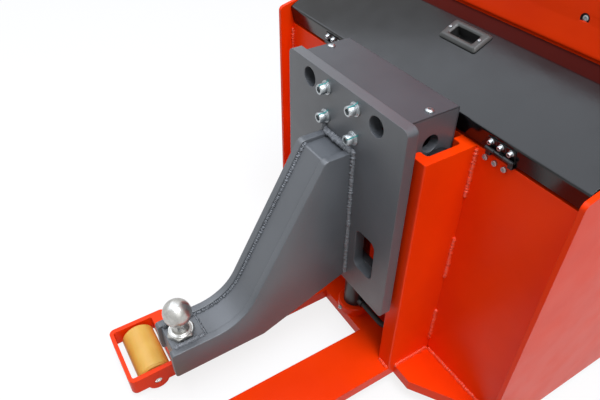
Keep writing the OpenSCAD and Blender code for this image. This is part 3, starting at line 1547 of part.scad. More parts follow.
base_plate();
leg_heads();
leg_roller_pins();
side_plates();
bulkhead();
mast_channels();
frame_welds();
cylinder_seat();
bleed_screw();
lift_cylinder();
hydraulic_unit();
hydraulic_hose();
battery_pack();
battery_front_wall();
backrest_shell();
backrest_pad();
frame_screws();
hinge_frame_leaves();
platform_plate();
platform_mat();
toe_panel();
front_frame();
turntable_ring();
front_hood();
console();
bumper();
controller();
headlamps();
carriage_plate();
carriage_frame();
carriage_cover();
carriage_screws();
gooseneck_sides();
gooseneck_webs();
tow_ball();
gooseneck_welds();
lift_rod();
upper_rollers();
lower_rollers();
leg_roller_left();
leg_roller_right();
battery_lid();
lid_handle();
hinge_lid_leaves();
lid_screws();
drive_gearbox();
drive_motor();
drive_wheel();
caster_fork_left();
caster_fork_right();
caster_wheel_left();
caster_wheel_right();
steering_handle();
handle_grips();
throttle_paddle();
horn_button();
lift_rocker();
emergency_button();
key_switch();
presence_pedal();
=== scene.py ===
"""Looks of the stand-on tow tractor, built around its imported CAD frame."""

import json
import math

import bmesh
import bpy
from mathutils import Matrix, Vector


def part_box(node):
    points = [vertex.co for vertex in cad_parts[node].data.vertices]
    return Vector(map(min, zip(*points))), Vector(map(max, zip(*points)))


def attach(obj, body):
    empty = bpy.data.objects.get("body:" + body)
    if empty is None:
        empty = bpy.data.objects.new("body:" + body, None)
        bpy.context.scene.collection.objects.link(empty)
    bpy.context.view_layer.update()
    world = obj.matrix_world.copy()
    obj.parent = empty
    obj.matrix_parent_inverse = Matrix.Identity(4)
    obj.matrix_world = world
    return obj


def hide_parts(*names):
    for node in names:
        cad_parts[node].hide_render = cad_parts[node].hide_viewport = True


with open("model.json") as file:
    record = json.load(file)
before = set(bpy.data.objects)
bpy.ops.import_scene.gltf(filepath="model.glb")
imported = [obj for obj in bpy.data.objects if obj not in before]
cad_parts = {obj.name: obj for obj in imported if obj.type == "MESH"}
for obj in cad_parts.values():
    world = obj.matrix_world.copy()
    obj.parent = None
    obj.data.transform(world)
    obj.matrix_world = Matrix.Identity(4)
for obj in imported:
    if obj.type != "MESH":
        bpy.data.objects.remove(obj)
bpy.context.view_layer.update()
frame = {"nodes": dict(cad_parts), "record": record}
scene = bpy.context.scene

# The CAD source measures along the machine from the hitch carriage's rear face.
HITCH_X = -0.3825
MM = 0.001
BALL_X = HITCH_X - 0.319


def place(x, y, z):
    """A point given as the CAD source gives it, in millimetres, in the part's frame."""
    return Vector((HITCH_X + x * MM, y * MM, z * MM))


# Materials


def colour(hex_code):
    """Linear colour of an sRGB hex code."""
    shares = [int(hex_code[i : i + 2], 16) / 255 for i in (1, 3, 5)]
    return [c / 12.92 if c <= 0.04045 else ((c + 0.055) / 1.055) ** 2.4 for c in shares] + [1.0]


def add(tree, kind, inputs=None, **settings):
    """Adds one node. Inputs are values, or the sockets that they are linked to."""
    node = tree.nodes.new(kind)
    for name, value in settings.items():
        setattr(node, name, value)
    for key, value in (inputs or {}).items():
        if isinstance(value, bpy.types.NodeSocket):
            tree.links.new(value, node.inputs[key])
        else:
            node.inputs[key].default_value = value
    return node


def new_material(name):
    """An empty node material with its output and the object's coordinates."""
    material = bpy.data.materials.new(name)
    material.use_nodes = True
    tree = material.node_tree
    tree.nodes.clear()
    where = add(tree, "ShaderNodeTexCoord").outputs["Object"]
    return material, tree, where


def finish_shader(tree, inputs):
    """Sends a principled shader with these inputs to the material's output."""
    shader = add(tree, "ShaderNodeBsdfPrincipled", inputs)
    add(tree, "ShaderNodeOutputMaterial", {"Surface": shader.outputs["BSDF"]})


def noise(tree, where, size, detail=2.0, roughness=0.5):
    """Noise whose lumps are about that many metres wide."""
    return add(
        tree,
        "ShaderNodeTexNoise",
        {"Vector": where, "Scale": 1.0 / size, "Detail": detail, "Roughness": roughness},
    ).outputs["Fac"]


def spread(tree, value, low, high, to_low=0.0, to_high=1.0):
    """Maps low..high of a value to another range, held at its ends."""
    return add(
        tree,
        "ShaderNodeMapRange",
        {"Value": value, "From Min": low, "From Max": high, "To Min": to_low, "To Max": to_high},
    ).outputs["Result"]


def mixed(tree, share, first, second):
    """Colour between two hex colours, or between a socket and a hex colour."""
    node = tree.nodes.new("ShaderNodeMix")
    node.data_type = "RGBA"
    tree.links.new(share, node.inputs[0])
    for index, value in ((6, first), (7, second)):
        if isinstance(value, str):
            node.inputs[index].default_value = colour(value)
        else:
            tree.links.new(value, node.inputs[index])
    return node.outputs[2]


def soft_edges(tree, radius):
    """Normal that rounds the solids' sharp edges by that radius, as coating and deburring do."""
    return add(tree, "ShaderNodeBevel", {"Radius": radius}, samples=4).outputs["Normal"]


def bump(tree, height, depth, normal=None):
    """Normal raised by a 0..1 height that is worth that many metres."""
    inputs = {"Height": height, "Strength": 1.0, "Distance": depth}
    if normal is not None:
        inputs["Normal"] = normal
    return add(tree, "ShaderNodeBump", inputs).outputs["Normal"]


# In metres: the width of tone changes and of handling marks, and the roundness of edges.
CLOUD_SIZE, HAND_SIZE = 0.12, 0.05
COAT_EDGE, MOULD_EDGE = 0.0018, 0.001


def powder_coat(name, base, deep, rough, peel=0.006, depth=0.00005, grain=None, shine=0.5):
    """Powder-coated steel: even colour, slight orange peel, soft highlights and rounded edges."""
    material, tree, where = new_material(name)
    cloud = noise(tree, where, CLOUD_SIZE, 3.0)
    tint = mixed(tree, spread(tree, cloud, 0.3, 0.7), base, deep)
    height = noise(tree, where, peel)
    if grain:
        fine = noise(tree, where, grain, 1.0)
        height = add(tree, "ShaderNodeMath", {0: height, 1: fine}, operation="ADD").outputs[0]
    marks = noise(tree, where, HAND_SIZE, 4.0)
    handled = spread(tree, marks, 0.35, 0.65, rough - 0.02, rough + 0.03)
    finish_shader(
        tree,
        {
            "Base Color": tint,
            "Roughness": handled,
            "IOR": 1.5,
            "Specular IOR Level": shine,
            "Normal": bump(tree, height, depth, soft_edges(tree, COAT_EDGE)),
        },
    )
    return material


def plain_metal(name, base, deep, rough, scratch=0.004, depth=0.00002, edge=0.0008):
    """Bare or plated steel: metallic, with fine machining or handling marks."""
    material, tree, where = new_material(name)
    marks = noise(tree, where, scratch, 4.0, 0.7)
    tint = mixed(tree, spread(tree, marks, 0.35, 0.7), base, deep)
    finish_shader(
        tree,
        {
            "Base Color": tint,
            "Metallic": 1.0,
            "Roughness": spread(tree, marks, 0.3, 0.7, rough - 0.06, rough + 0.08),
            "Normal": bump(tree, marks, depth, soft_edges(tree, edge)),
        },
    )
    return material


def moulded(name, base, deep, rough, grain=0.002, depth=0.00008, ior=1.49, subsurface=0.0, clear=0.0):
    """Moulded plastic, rubber or urethane with its grain."""
    material, tree, where = new_material(name)
    cloud = noise(tree, where, CLOUD_SIZE / 2, 3.0)
    tint = mixed(tree, spread(tree, cloud, 0.35, 0.65), base, deep)
    skin = noise(tree, where, grain)
    finish_shader(
        tree,
        {
            "Base Color": tint,
            "Roughness": spread(tree, skin, 0.3, 0.7, rough - 0.05, rough + 0.05),
            "IOR": ior,
            "Subsurface Weight": subsurface,
            "Transmission Weight": clear,
            "Subsurface Scale": 0.004,
            "Normal": bump(tree, skin, depth, soft_edges(tree, MOULD_EDGE)),
        },
    )
    return material


# Polyester powder coat in traffic red-orange: glossy, even, faint orange peel.
orange_coat = powder_coat("powder_coat_orange", "#F03A00", "#E83400", 0.36, shine=0.16)
# The same coat over the chassis beads, where it pools between the ripples; its lighter, pinker base
# colour is painted highlight.
orange_bead_coat = powder_coat("orange_bead_coat_with_painted_highlight", "#F0481C", "#E43A12", 0.28, depth=0.00012)
# Fine-structure powder coat in anthracite: matt with a tiny grain that breaks up highlights.
anthracite_coat = powder_coat(
    "powder_coat_anthracite", "#525559", "#4B4E52", 0.42, depth=0.00012, grain=0.0022, shine=0.8
)
# The same coat over the gooseneck's weld beads, glossier, with a lighter base colour that is painted
# highlight.
bead_coat = powder_coat("grey_bead_coat_with_painted_highlight", "#6E7176", "#5E6165", 0.36, depth=0.0002, grain=0.003)
# Smoother anthracite on the folded sheet cover of the carriage; its base colour, darker than the
# plate's, is painted shade.
sheet_coat_painted_shade = powder_coat("powder_coat_sheet_painted_shade", "#43464A", "#3B3E42", 0.5, depth=0.00006, grain=0.003)
# Gloss black coat of the battery lid: deep black with sharp soft-box reflections.
lid_coat = powder_coat("gloss_black_coat", "#08090B", "#0D0E10", 0.14, depth=0.00002, shine=0.38)
# Satin black paint on steel parts of the running gear.
black_paint = powder_coat("satin_black_paint", "#17181A", "#1E1F21", 0.38, depth=0.00006)
# Machine enamel on motor and pump: dark grey, slightly textured.
motor_enamel = powder_coat("dark_machine_enamel", "#2A2C2E", "#242628", 0.42, depth=0.0001)
# Sand-cast iron under grey primer: visible casting grain.
cast_iron = powder_coat("primed_cast_iron", "#54575A", "#4A4D50", 0.6, depth=0.0003, grain=0.003)
# Polypropylene battery cells in a steel tray.
cell_case = powder_coat("battery_tray_coat", "#33373B", "#2C3034", 0.5, depth=0.0001)
# Turned and ground steel of pins and ball.
turned_steel = plain_metal("turned_steel", "#C9C8C4", "#B4B3AF", 0.24)
# Zinc plating with a clear passivation: pale, faintly blue.
zinc_plate = plain_metal("zinc_plated_steel", "#B3B8BA", "#9DA2A5", 0.38, edge=0.0004)
# Hard chrome of the lift rod.
hard_chrome = plain_metal("hard_chrome", "#D8DADC", "#CDCFD1", 0.08)
# Natural cast polyurethane of the load rollers: amber, slightly translucent.
urethane = moulded("cast_polyurethane", "#DCAE52", "#D2A042", 0.42, grain=0.004, subsurface=0.1)
# Ribbed nitrile rubber of mat and caster tyres.
black_rubber = moulded("nitrile_rubber", "#161616", "#1D1D1C", 0.66, grain=0.0025, depth=0.0001)
# Textured ABS of the console and the steering head.
black_abs = moulded("textured_black_abs", "#1A1B1C", "#202122", 0.48, grain=0.0018, depth=0.0001)
# Glass-filled nylon of the handle bezel and levers.
grey_nylon = moulded("glass_filled_nylon", "#343533", "#3D3E3C", 0.42, grain=0.0015)
# Near-black finish with almost no shine in the handle's well and the backrest's screw recesses: painted
# shade in these hollows.
recess_painted_shade = moulded("painted_recess_shade", "#070707", "#0B0B0B", 0.7, grain=0.003, depth=0.00004)
# Clear-lacquered polycarbonate over the lamps.
lamp_cover = moulded(
    "clear_polycarbonate", "#F4F6F8", "#EEF1F4", 0.08, grain=0.02, depth=0.00001, ior=1.58, clear=0.9
)
# Opal silicone dome over the lamp's light source.
opal_dome = moulded(
    "opal_silicone", "#F3EFD9", "#ECE6CB", 0.35, grain=0.004, depth=0.00002, subsurface=0.2
)
# Red and yellow acetal of the push buttons.
red_acetal = moulded("red_acetal", "#C3140C", "#B5110A", 0.26, grain=0.01, depth=0.00001)
yellow_acetal = moulded("yellow_acetal", "#F2B90F", "#E8AE08", 0.28, grain=0.01, depth=0.00001)
# Die-cast aluminium housing of the controller.
cast_aluminium = plain_metal("die_cast_aluminium", "#A9ABAD", "#9A9C9E", 0.42, depth=0.0001)
# Vinyl upholstery of the backrest pad: leather grain of about 1.5 mm.
pad_vinyl = moulded("grained_black_vinyl", "#151515", "#1B1B1B", 0.45, grain=0.003, depth=0.0004)

SLOT_FINISH = {
    "orange_paint": orange_coat,
    "grey_paint": anthracite_coat,
    "black_gloss": lid_coat,
    "black_paint": black_paint,
    "motor_paint": motor_enamel,
    "cast_grey": cast_iron,
    "cell_case": cell_case,
    "bright_steel": turned_steel,
    "zinc_steel": zinc_plate,
    "hard_chrome": hard_chrome,
    "roller_urethane": urethane,
    "black_rubber": black_rubber,
    "pad_vinyl": pad_vinyl,
    "black_plastic": black_abs,
    "grey_plastic": grey_nylon,
    "lamp_lens": lamp_cover,
    "red_plastic": red_acetal,
    "yellow_plastic": yellow_acetal,
    "fin_aluminium": cast_aluminium,
}

slot_of_node = {s["node"]: s["material_slot"] for s in frame["record"]["subparts"]}
for node_name, node_object in frame["nodes"].items():
    for material_slot in node_object.material_slots:
        material_slot.material = SLOT_FINISH[slot_of_node[node_name]]
# The carriage cover takes the darker anthracite: painted shade on its top.
for material_slot in frame["nodes"]["carriage_cover"].material_slots:
    material_slot.material = sheet_coat_painted_shade


# Pieces


def linked(name, data):
    """A new object of the scene."""
    obj = bpy.data.objects.new(name, data)
    scene.collection.objects.link(obj)
    return obj


def evaluated(obj):
    """A plain mesh of the object as its modifiers leave it."""
    depsgraph = bpy.context.evaluated_depsgraph_get()
    return bpy.data.meshes.new_from_object(obj.evaluated_get(depsgraph))


def piece(name, mesh, body, slot_name, replaced=(), finish=None, crease=35):
    """Links a finished mesh, shades it, and lets it ride on a CAD body."""
    obj = linked(name, mesh)
    mesh.materials.clear()
    mesh.materials.append(finish or SLOT_FINISH[slot_name])
    mesh.shade_smooth()
    mesh.set_sharp_from_angle(angle=math.radians(crease))
    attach(obj, body)
    if replaced:
        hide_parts(*replaced)
    return obj


def to_mesh(name, bm):
    """Mesh of a finished bmesh, merged and facing outwards."""
    bmesh.ops.remove_doubles(bm, verts=bm.verts, dist=1e-6)
    bmesh.ops.recalc_face_normals(bm, faces=bm.faces)
    mesh = bpy.data.meshes.new(name)
    bm.to_mesh(mesh)
    bm.free()
    return mesh


def shaped(name, bm, body, slot_name, replaced=(), finish=None, crease=35):
    """A piece from a bmesh."""
    return piece(name, to_mesh(name, bm), body, slot_name, replaced, finish, crease)


def softened(profile, radius, steps=4):
    """The open profile with each inner corner rounded by that radius."""
    points = [Vector(p) for p in profile]
    result = [points[0]]
    for before, at, after in zip(points, points[1:], points[2:]):
        u, v = before - at, after - at
        reach = min(radius, 0.45 * u.length, 0.45 * v.length)
        start, end = at + u.normalized() * reach, at + v.normalized() * reach
        for i in range(steps + 1):
            t = i / steps
            result.append((1 - t) ** 2 * start + 2 * t * (1 - t) * at + t**2 * end)
    result.append(points[-1])
    return [(p.x, p.y) for p in result]


def turned(bm, profile, where=Matrix.Identity(4), segments=96, closed=False):
    """Turns a profile of (radius, height) pairs in millimetres about z, then places it."""
    rings = []
    for radius, height in profile:
        if radius == 0:
            rings.append([bm.verts.new(where @ Vector((0, 0, height * MM)))] * segments)
            continue
        ring = []
        for i in range(segments):
            a = 2 * math.pi * i / segments
            spot = Vector((radius * math.cos(a), radius * math.sin(a), height)) * MM
            ring.append(bm.verts.new(where @ spot))
        rings.append(ring)
    pairs = list(zip(rings, rings[1:]))
    if closed:
        pairs.append((rings[-1], rings[0]))
    for low, high in pairs:
        for i in range(segments):
            j = (i + 1) % segments
            corners = list(dict.fromkeys((low[i], low[j], high[j], high[i])))
            if len(corners) > 2:
                bm.faces.new(corners)


def seat_at(at, quarters, axis):
    """A frame at a point, turned by that many quarter turns about an axis."""
    return Matrix.Translation(at) @ Matrix.Rotation(quarters * math.pi / 2, 4, axis)


def outline_loop(half_u, half_v, radius, steps=6):
    """Corner-rounded rectangle about the origin, anticlockwise, in millimetres."""
    loop = []
    for k, (su, sv) in enumerate(((1, 1), (-1, 1), (-1, -1), (1, -1))):
        for i in range(steps + 1):
            a = math.pi / 2 * (k + i / steps)
            u = su * (half_u - radius) + radius * math.cos(a)
            v = sv * (half_v - radius) + radius * math.sin(a)
            loop.append((u, v))
    return loop


def skin_between(bm, low, high):
    """Faces between two rings of the same length."""
    for i in range(len(low)):
        j = (i + 1) % len(low)
        bm.faces.new((low[i], low[j], high[j], high[i]))


def lofted(bm, loops, where, cap_first=True, cap_last=True):
    """Joins loops of the same length, each (points, height), and closes their ends."""
    rings = []
    for points, height in loops:
        rings.append([bm.verts.new(where @ (Vector((u, v, height)) * MM)) for u, v in points])
    for low, high in zip(rings, rings[1:]):
        skin_between(bm, low, high)
    if cap_first:
        bm.faces.new(rings[0][::-1])
    if cap_last:
        bm.faces.new(rings[-1])


def grow_tree(name, sizes):
    """A geometry tree with a guide mesh, named sizes and a finish going in."""
    tree = bpy.data.node_groups.new(name, "GeometryNodeTree")
    tree.interface.new_socket("Guide", in_out="INPUT", socket_type="NodeSocketGeometry")
    for label, kind in sizes.items():
        tree.interface.new_socket(label, in_out="INPUT", socket_type=kind)
    tree.interface.new_socket("Finish", in_out="INPUT", socket_type="NodeSocketMaterial")
    tree.interface.new_socket("Geometry", in_out="OUTPUT", socket_type="NodeSocketGeometry")
    entry = tree.nodes.new("NodeGroupInput")
    return tree, entry.outputs


def stepped(tree, guide, step):
    """Points along a guide's edges, one step apart."""
    curve = add(tree, "GeometryNodeMeshToCurve", {"Mesh": guide}).outputs[0]
    inputs = {"Curve": curve, "Length": step}
    return add(tree, "GeometryNodeResampleCurve", inputs, mode="LENGTH").outputs[0]


def facing(tree, way):
    """The rotation that turns z to a direction."""
    return add(tree, "FunctionNodeAlignRotationToVector", {"Vector": way}, axis="Z").outputs[0]


def random_vector(tree, low, high, seed):
    """A random vector at each point, between two corners."""
    inputs = {"Min": low, "Max": high, "Seed": seed}
    return add(tree, "FunctionNodeRandomValue", inputs, data_type="FLOAT_VECTOR").outputs[0]


def end_tree(tree, instances, finish):
    """Sets the instances on points, makes them real, gives them the finish and sends them out."""
    heads = add(tree, "GeometryNodeInstanceOnPoints", instances)
    real = add(tree, "GeometryNodeRealizeInstances", {"Geometry": heads.outputs[0]})
    coated = add(tree, "GeometryNodeSetMaterial", {"Geometry": real.outputs[0], "Material": finish})
    add(tree, "NodeGroupOutput", {"Geometry": coated.outputs[0]})


def grown(guide_mesh, tree, values):
    """The plain mesh that a geometry tree makes from a guide mesh."""
    guide = linked("guide", guide_mesh)
    modifier = guide.modifiers.new("grow", "NODES")
    modifier.node_group = tree
    for item in tree.interface.items_tree:
        if item.in_out == "INPUT" and item.name in values:
            modifier[item.identifier] = values[item.name]
    mesh = evaluated(guide)
    bpy.data.objects.remove(guide)
    return mesh


# Weld beads: overlapping rounded ripples along each seam, as a hand-held torch leaves them.
bead_sizes = ("Ripple Pitch", "Bead Radius", "Unsteadiness")
bead_tree, bead_in = grow_tree("weld_ripples", dict.fromkeys(bead_sizes, "NodeSocketFloat"))
steps = stepped(bead_tree, bead_in["Guide"], bead_in["Ripple Pitch"])
ripple = add(
    bead_tree, "GeometryNodeMeshIcoSphere", {"Radius": bead_in["Bead Radius"], "Subdivisions": 2}
)
heading = facing(bead_tree, add(bead_tree, "GeometryNodeInputTangent").outputs[0])
uneven = random_vector(bead_tree, (0.82, 0.82, 0.45), (1.15, 1.15, 0.7), 7)
sway = random_vector(bead_tree, (-1.0, -1.0, -1.0), (1.0, 1.0, 1.0), 11)
offset = add(
    bead_tree,
    "ShaderNodeVectorMath",
    {0: sway, "Scale": bead_in["Unsteadiness"]},
    operation="SCALE",
)
swayed = add(bead_tree, "GeometryNodeSetPosition", {"Geometry": steps, "Offset": offset.outputs[0]})
end_tree(
    bead_tree,
    {
        "Points": swayed.outputs[0],
        "Instance": ripple.outputs[0],
        "Rotation": heading,
        "Scale": uneven,
    },
    bead_in["Finish"],
)


def weld_beads(name, seams, body, slot_name, replaced=(), radius=5.2, pitch=3.0, sway=0.5, finish=None):
    """Beads along seams, each a list of points in the CAD source's millimetres."""
    guide = bpy.data.meshes.new(name)
    points, edges = [], []
    for line in seams:
        for i, point in enumerate(line):
            if i:
                edges.append((len(points) - 1, len(points)))
            points.append(place(*point))
    guide.from_pydata(points, edges, [])
    mesh = grown(
        guide,
        bead_tree,
        {
            "Ripple Pitch": pitch * MM,
            "Bead Radius": radius * MM,
            "Unsteadiness": sway * MM,
            "Finish": finish or SLOT_FINISH[slot_name],
        },
    )
    return piece(name, mesh, body, slot_name, replaced, finish, crease=80)


# Chassis beads lie in the corners of these faces: channel webs, side plates, base plate and bulkhead.
MAST_OUT, PLATE_IN, BASE_TOP, BULKHEAD_X = 171.0, 360.0, 65.0, 130.0
PROUD = 0.5
wall_x, base_z = BULKHEAD_X - PROUD, BASE_TOP + PROUD
chassis_seams = []
for side in (-1, 1):
    mast_y, plate_y = side * (MAST_OUT + PROUD), side * (PLATE_IN - PROUD)
    for low, high in ((100, 186), (283, 379), (475, 564)):
        chassis_seams.append([(wall_x, mast_y, low), (wall_x, mast_y, high)])
    chassis_seams.append([(46, mast_y, base_z), (124, mast_y, base_z)])
    chassis_seams.append([(wall_x, side * 178, base_z), (wall_x, side * 334, base_z)])
    chassis_seams.append([(wall_x, plate_y, 72), (wall_x, plate_y, 558)])
    chassis_seams.append([(27.5, side * 145, base_z), (27.5, side * 166, base_z)])
weld_beads(
    "chassis_weld_beads",
    chassis_seams,
    "chassis",
    "orange_paint",
    ["frame_welds"],
    finish=orange_bead_coat,
)


def inset(line, depth):
    """The open line of (x, z) points moved towards its right-hand side by that depth."""
    ways = [(b - a).normalized() for a, b in zip(line, line[1:])]
    moved = []
    for i, point in enumerate(line):
        before, after = ways[max(i - 1, 0)], ways[min(i, len(ways) - 1)]
        n, m = Vector((before.y, -before.x)), Vector((after.y, -after.x))
        moved.append(point + (n + m) * depth / (1 + n.dot(m)))
    return moved


def rounded(outline, radii, steps=14):
    """The closed outline with an arc of its own radius at each corner."""
    result = []
    for i, at in enumerate(outline):
        u = (outline[i - 1] - at).normalized()
        v = (outline[(i + 1) % len(outline)] - at).normalized()
        if not radii[i]:
            result.append(at)
            continue
        half = u.angle(v) / 2
        middle = at + (u + v).normalized() * radii[i] / math.sin(half)
        reach = radii[i] / math.tan(half)
        start, end = at + u * reach - middle, at + v * reach - middle
        for k in range(steps + 1):
            t = k / steps
            result.append(middle + (start * (1 - t) + end * t).normalized() * radii[i])
    return result


def prism(bm, outline, low_y, high_y, edge=0.0):
    """A plate with that outline of (x, z) points in the CAD source's millimetres, between two y."""
    near, far = [[bm.verts.new(place(p.x, y, p.y)) for p in outline] for y in (low_y, high_y)]
    sides = [bm.faces.new((near[i], near[i - 1], far[i - 1], far[i])) for i in range(len(outline))]
    caps = [bm.faces.new(near), bm.faces.new(far[::-1])]
    bmesh.ops.recalc_face_normals(bm, faces=sides + caps)
    if edge:
        rims = [e for cap in caps for e in cap.edges]
        bmesh.ops.bevel(bm, geom=rims, offset=edge * MM, segments=3, profile=0.5, affect="EDGES")


# Gooseneck: two cut side plates, the recessed webs between them and the ball block.
NECK_SIDE, WEB_SIDE, WEB_RECESS, WEB_DEEP = 42.0, 28.0, 6.0, 20.0
BLOCK_BACK, BLOCK_FRONT, BLOCK_LOW, BLOCK_TOP = -346.2, -285.0, 180.0, 234.0
NECK_BENDS, WEB_BENDS = (6, 90, 12, 0, 0, 20, 6), (0, 96, 4, 0, 0, 4, 110, 0)
neck_line = [Vector(p) for p in ((-353, 237), (-218.9, 237), (-53, 527), (0, 527))]
belly_line = [Vector(p) for p in ((0, 246), (-179, 179.1), (-353, 177.1))]
side_plates = bmesh.new()
for low, high in ((-NECK_SIDE, -WEB_SIDE), (WEB_SIDE, NECK_SIDE)):
    prism(side_plates, rounded(neck_line + belly_line, NECK_BENDS), low, high, 0.8)
shaped("gooseneck_side_plates", side_plates, "carriage", "grey_paint", ["gooseneck_sides"])
web_line = [Vector((BLOCK_FRONT, 237))] + neck_line[1:]
webs = bmesh.new()
web_outline = inset(web_line, WEB_RECESS) + inset(web_line, WEB_DEEP)[::-1]
prism(webs, rounded(web_outline, WEB_BENDS), -WEB_SIDE, WEB_SIDE)
belly_web = belly_line[:2] + [Vector((BLOCK_FRONT, 177.8))]
prism(webs, inset(belly_web, WEB_RECESS) + inset(belly_web, WEB_DEEP)[::-1], -WEB_SIDE, WEB_SIDE)
block_ends = [(BLOCK_BACK, BLOCK_LOW), (BLOCK_BACK, BLOCK_TOP)]
block_ends += [(BLOCK_FRONT, BLOCK_TOP), (BLOCK_FRONT, BLOCK_LOW)]
prism(webs, rounded([Vector(p) for p in block_ends], (2, 2, 0, 2), 4), -WEB_SIDE, WEB_SIDE)
shaped("gooseneck_web_plates", webs, "carriage", "grey_paint", ["gooseneck_webs"])

# Its beads: to the carriage plate, along the ball block and, rougher, along the left side of the web.
neck_y, block_y = NECK_SIDE + 1, WEB_SIDE - 1.5
neck_seams = [[(-1, side * neck_y, 252), (-1, side * neck_y, 529)] for side in (-1, 1)]
neck_seams += [
    [(-1.5, -NECK_SIDE, 530), (-1.5, NECK_SIDE, 530)],
    [(-4.5, 4 - NECK_SIDE, 528), (-4.5, NECK_SIDE - 9, 528)],
    [(-2, NECK_SIDE - 2, 532), (-2, NECK_SIDE, 541)],
]
for side in (-1, 1):
    neck_seams.append([(-341, side * block_y, BLOCK_TOP + 2), (-289, side * block_y, BLOCK_TOP + 2)])
weld_beads(
    "gooseneck_weld_beads",
    neck_seams,
    "carriage",
    "grey_paint",
    ["gooseneck_welds"],
    radius=5.0,
    finish=bead_coat,
)
seam_line = inset(web_line, WEB_RECESS - 0.6)
web_path = rounded(seam_line + inset(web_line, WEB_DEEP)[::-1], WEB_BENDS)
# The seam goes from the block round both bends, 31 points, and ends in a short hook.
web_seam = web_path[:31] + web_path[33:35]
block_seam = [(BLOCK_FRONT + 1, side * (WEB_SIDE - 2), BLOCK_TOP - 2) for side in (-1, 1)]
weld_beads(
    "gooseneck_web_beads",
    [[(p.x, WEB_SIDE - 0.8, p.y) for p in web_seam], block_seam],
    "carriage",
    "grey_paint",
    radius=3.2,
    pitch=2.4,
    sway=1.0,
    finish=bead_coat,
)


def socket_screw(radius, height, hexagon, knurls=30):
    """A hex socket head with a knurled rim, standing on z = 0, in millimetres."""
    bm = bmesh.new()
    count = 2 * knurls
    angles = [2 * math.pi * i / count for i in range(count)]
    knurled = [radius * (1.0 if i % 2 else 0.965) for i in range(count)]
    bends = [(a + math.pi / 6) % (math.pi / 3) - math.pi / 6 for a in angles]
    socket = [hexagon * math.cos(math.pi / 6) / math.cos(bend) for bend in bends]
    levels = [(knurled, 0), (knurled, 0.88 * height), ([0.88 * radius] * count, height)]
    levels += [(socket, height), (socket, 0.45 * height)]
    rings = []
    for radii, z in levels:
        spots = [Vector((r * math.cos(a), r * math.sin(a), z)) * MM for r, a in zip(radii, angles)]
        rings.append([bm.verts.new(spot) for spot in spots])
    for low, high in zip(rings, rings[1:]):
        skin_between(bm, low, high)
    bm.faces.new(rings[-1])
    bm.faces.new(rings[0][::-1])
    return bm


def washer(bm, radius, bore, low, thick):
    """A washer with a broken upper edge, lying at that height, in millimetres."""
    top, broken = low + thick, 0.3
    profile = [(bore, low), (radius, low), (radius, top - broken), (radius - broken, top), (bore, top)]
    turned(bm, profile, segments=48, closed=True)


# Fasteners: one head mesh set on every point of a guide, turned to each point's own direction.
screw_tree, screw_in = grow_tree("screw_set", {"Head": "NodeSocketObject"})
head_info = add(screw_tree, "GeometryNodeObjectInfo", {"Object": screw_in["Head"]})
way = add(screw_tree, "GeometryNodeInputNamedAttribute", {"Name": "way"}, data_type="FLOAT_VECTOR")
upright = facing(screw_tree, way.outputs["Attribute"])
twist = random_vector(screw_tree, (0.0, 0.0, 0.0), (0.0, 0.0, 1.0), 3)
turned_head = add(
    screw_tree,
    "FunctionNodeRotateRotation",
    {"Rotation": upright, "Rotate By": twist},
    rotation_space="LOCAL",
)
end_tree(
    screw_tree,
    {
        "Points": screw_in["Guide"],
        "Instance": head_info.outputs["Geometry"],
        "Rotation": turned_head.outputs[0],
    },
    screw_in["Finish"],
)


def screw_set(bm, seats, slot_name):
    """Mesh of one kind of head on all its seats, each a (point, direction) pair."""
    head = linked("head", to_mesh("head", bm))
    guide = bpy.data.meshes.new("seats")
    guide.from_pydata([at for at, _ in seats], [], [])
    ways = guide.attributes.new("way", "FLOAT_VECTOR", "POINT")
    for i, (_, direction) in enumerate(seats):
        ways.data[i].vector = direction
    mesh = grown(guide, screw_tree, {"Head": head, "Finish": SLOT_FINISH[slot_name]})
    bpy.data.objects.remove(head)
    return mesh


def joined(name, meshes):
    """One mesh of several."""
    bm = bmesh.new()
    for mesh in meshes:
        bm.from_mesh(mesh)
    result = bpy.data.meshes.new(name)
    bm.to_mesh(result)
    bm.free()
    return result


REARWARD = Vector((-1, 0, 0))
UPWARD = Vector((0, 0, 1))
# Each plate screw stands on a flat washer and a spring washer.
FLAT_WASHER, SPRING_WASHER = 2.5, 1.8
plate_screw = socket_screw(9.0, 12.0, 5.6)
stand = UPWARD * (FLAT_WASHER + SPRING_WASHER) * MM
bmesh.ops.translate(plate_screw, verts=plate_screw.verts, vec=stand)
washer(plate_screw, 12.0, 5.8, 0.0, FLAT_WASHER)
washer(plate_screw, 10.2, 5.8, FLAT_WASHER, SPRING_WASHER)
plate_seats = [(place(0, side * 39, z), REARWARD) for side in (-1, 1) for z in (606, 554)]
cover_screw = bmesh.new()
turned(cover_screw, softened([(0, 0), (7, 0), (6.4, 2.2), (3.4, 3.9), (2.1, 3.9)], 0.5), segments=36)
turned(cover_screw, [(2.1, 3.9), (2.1, 1.9), (0, 1.9)], segments=6)
cover_seats = [(place(66, side * 125, 626), UPWARD) for side in (-1, 1)]
piece(
    "carriage_fasteners",
    joined("carriage_fasteners", [
        screw_set(plate_screw, plate_seats, "zinc_steel"),
        screw_set(cover_screw, cover_seats, "zinc_steel"),
    ]),
    "carriage",
    "zinc_steel",
    ["carriage_screws"],
)

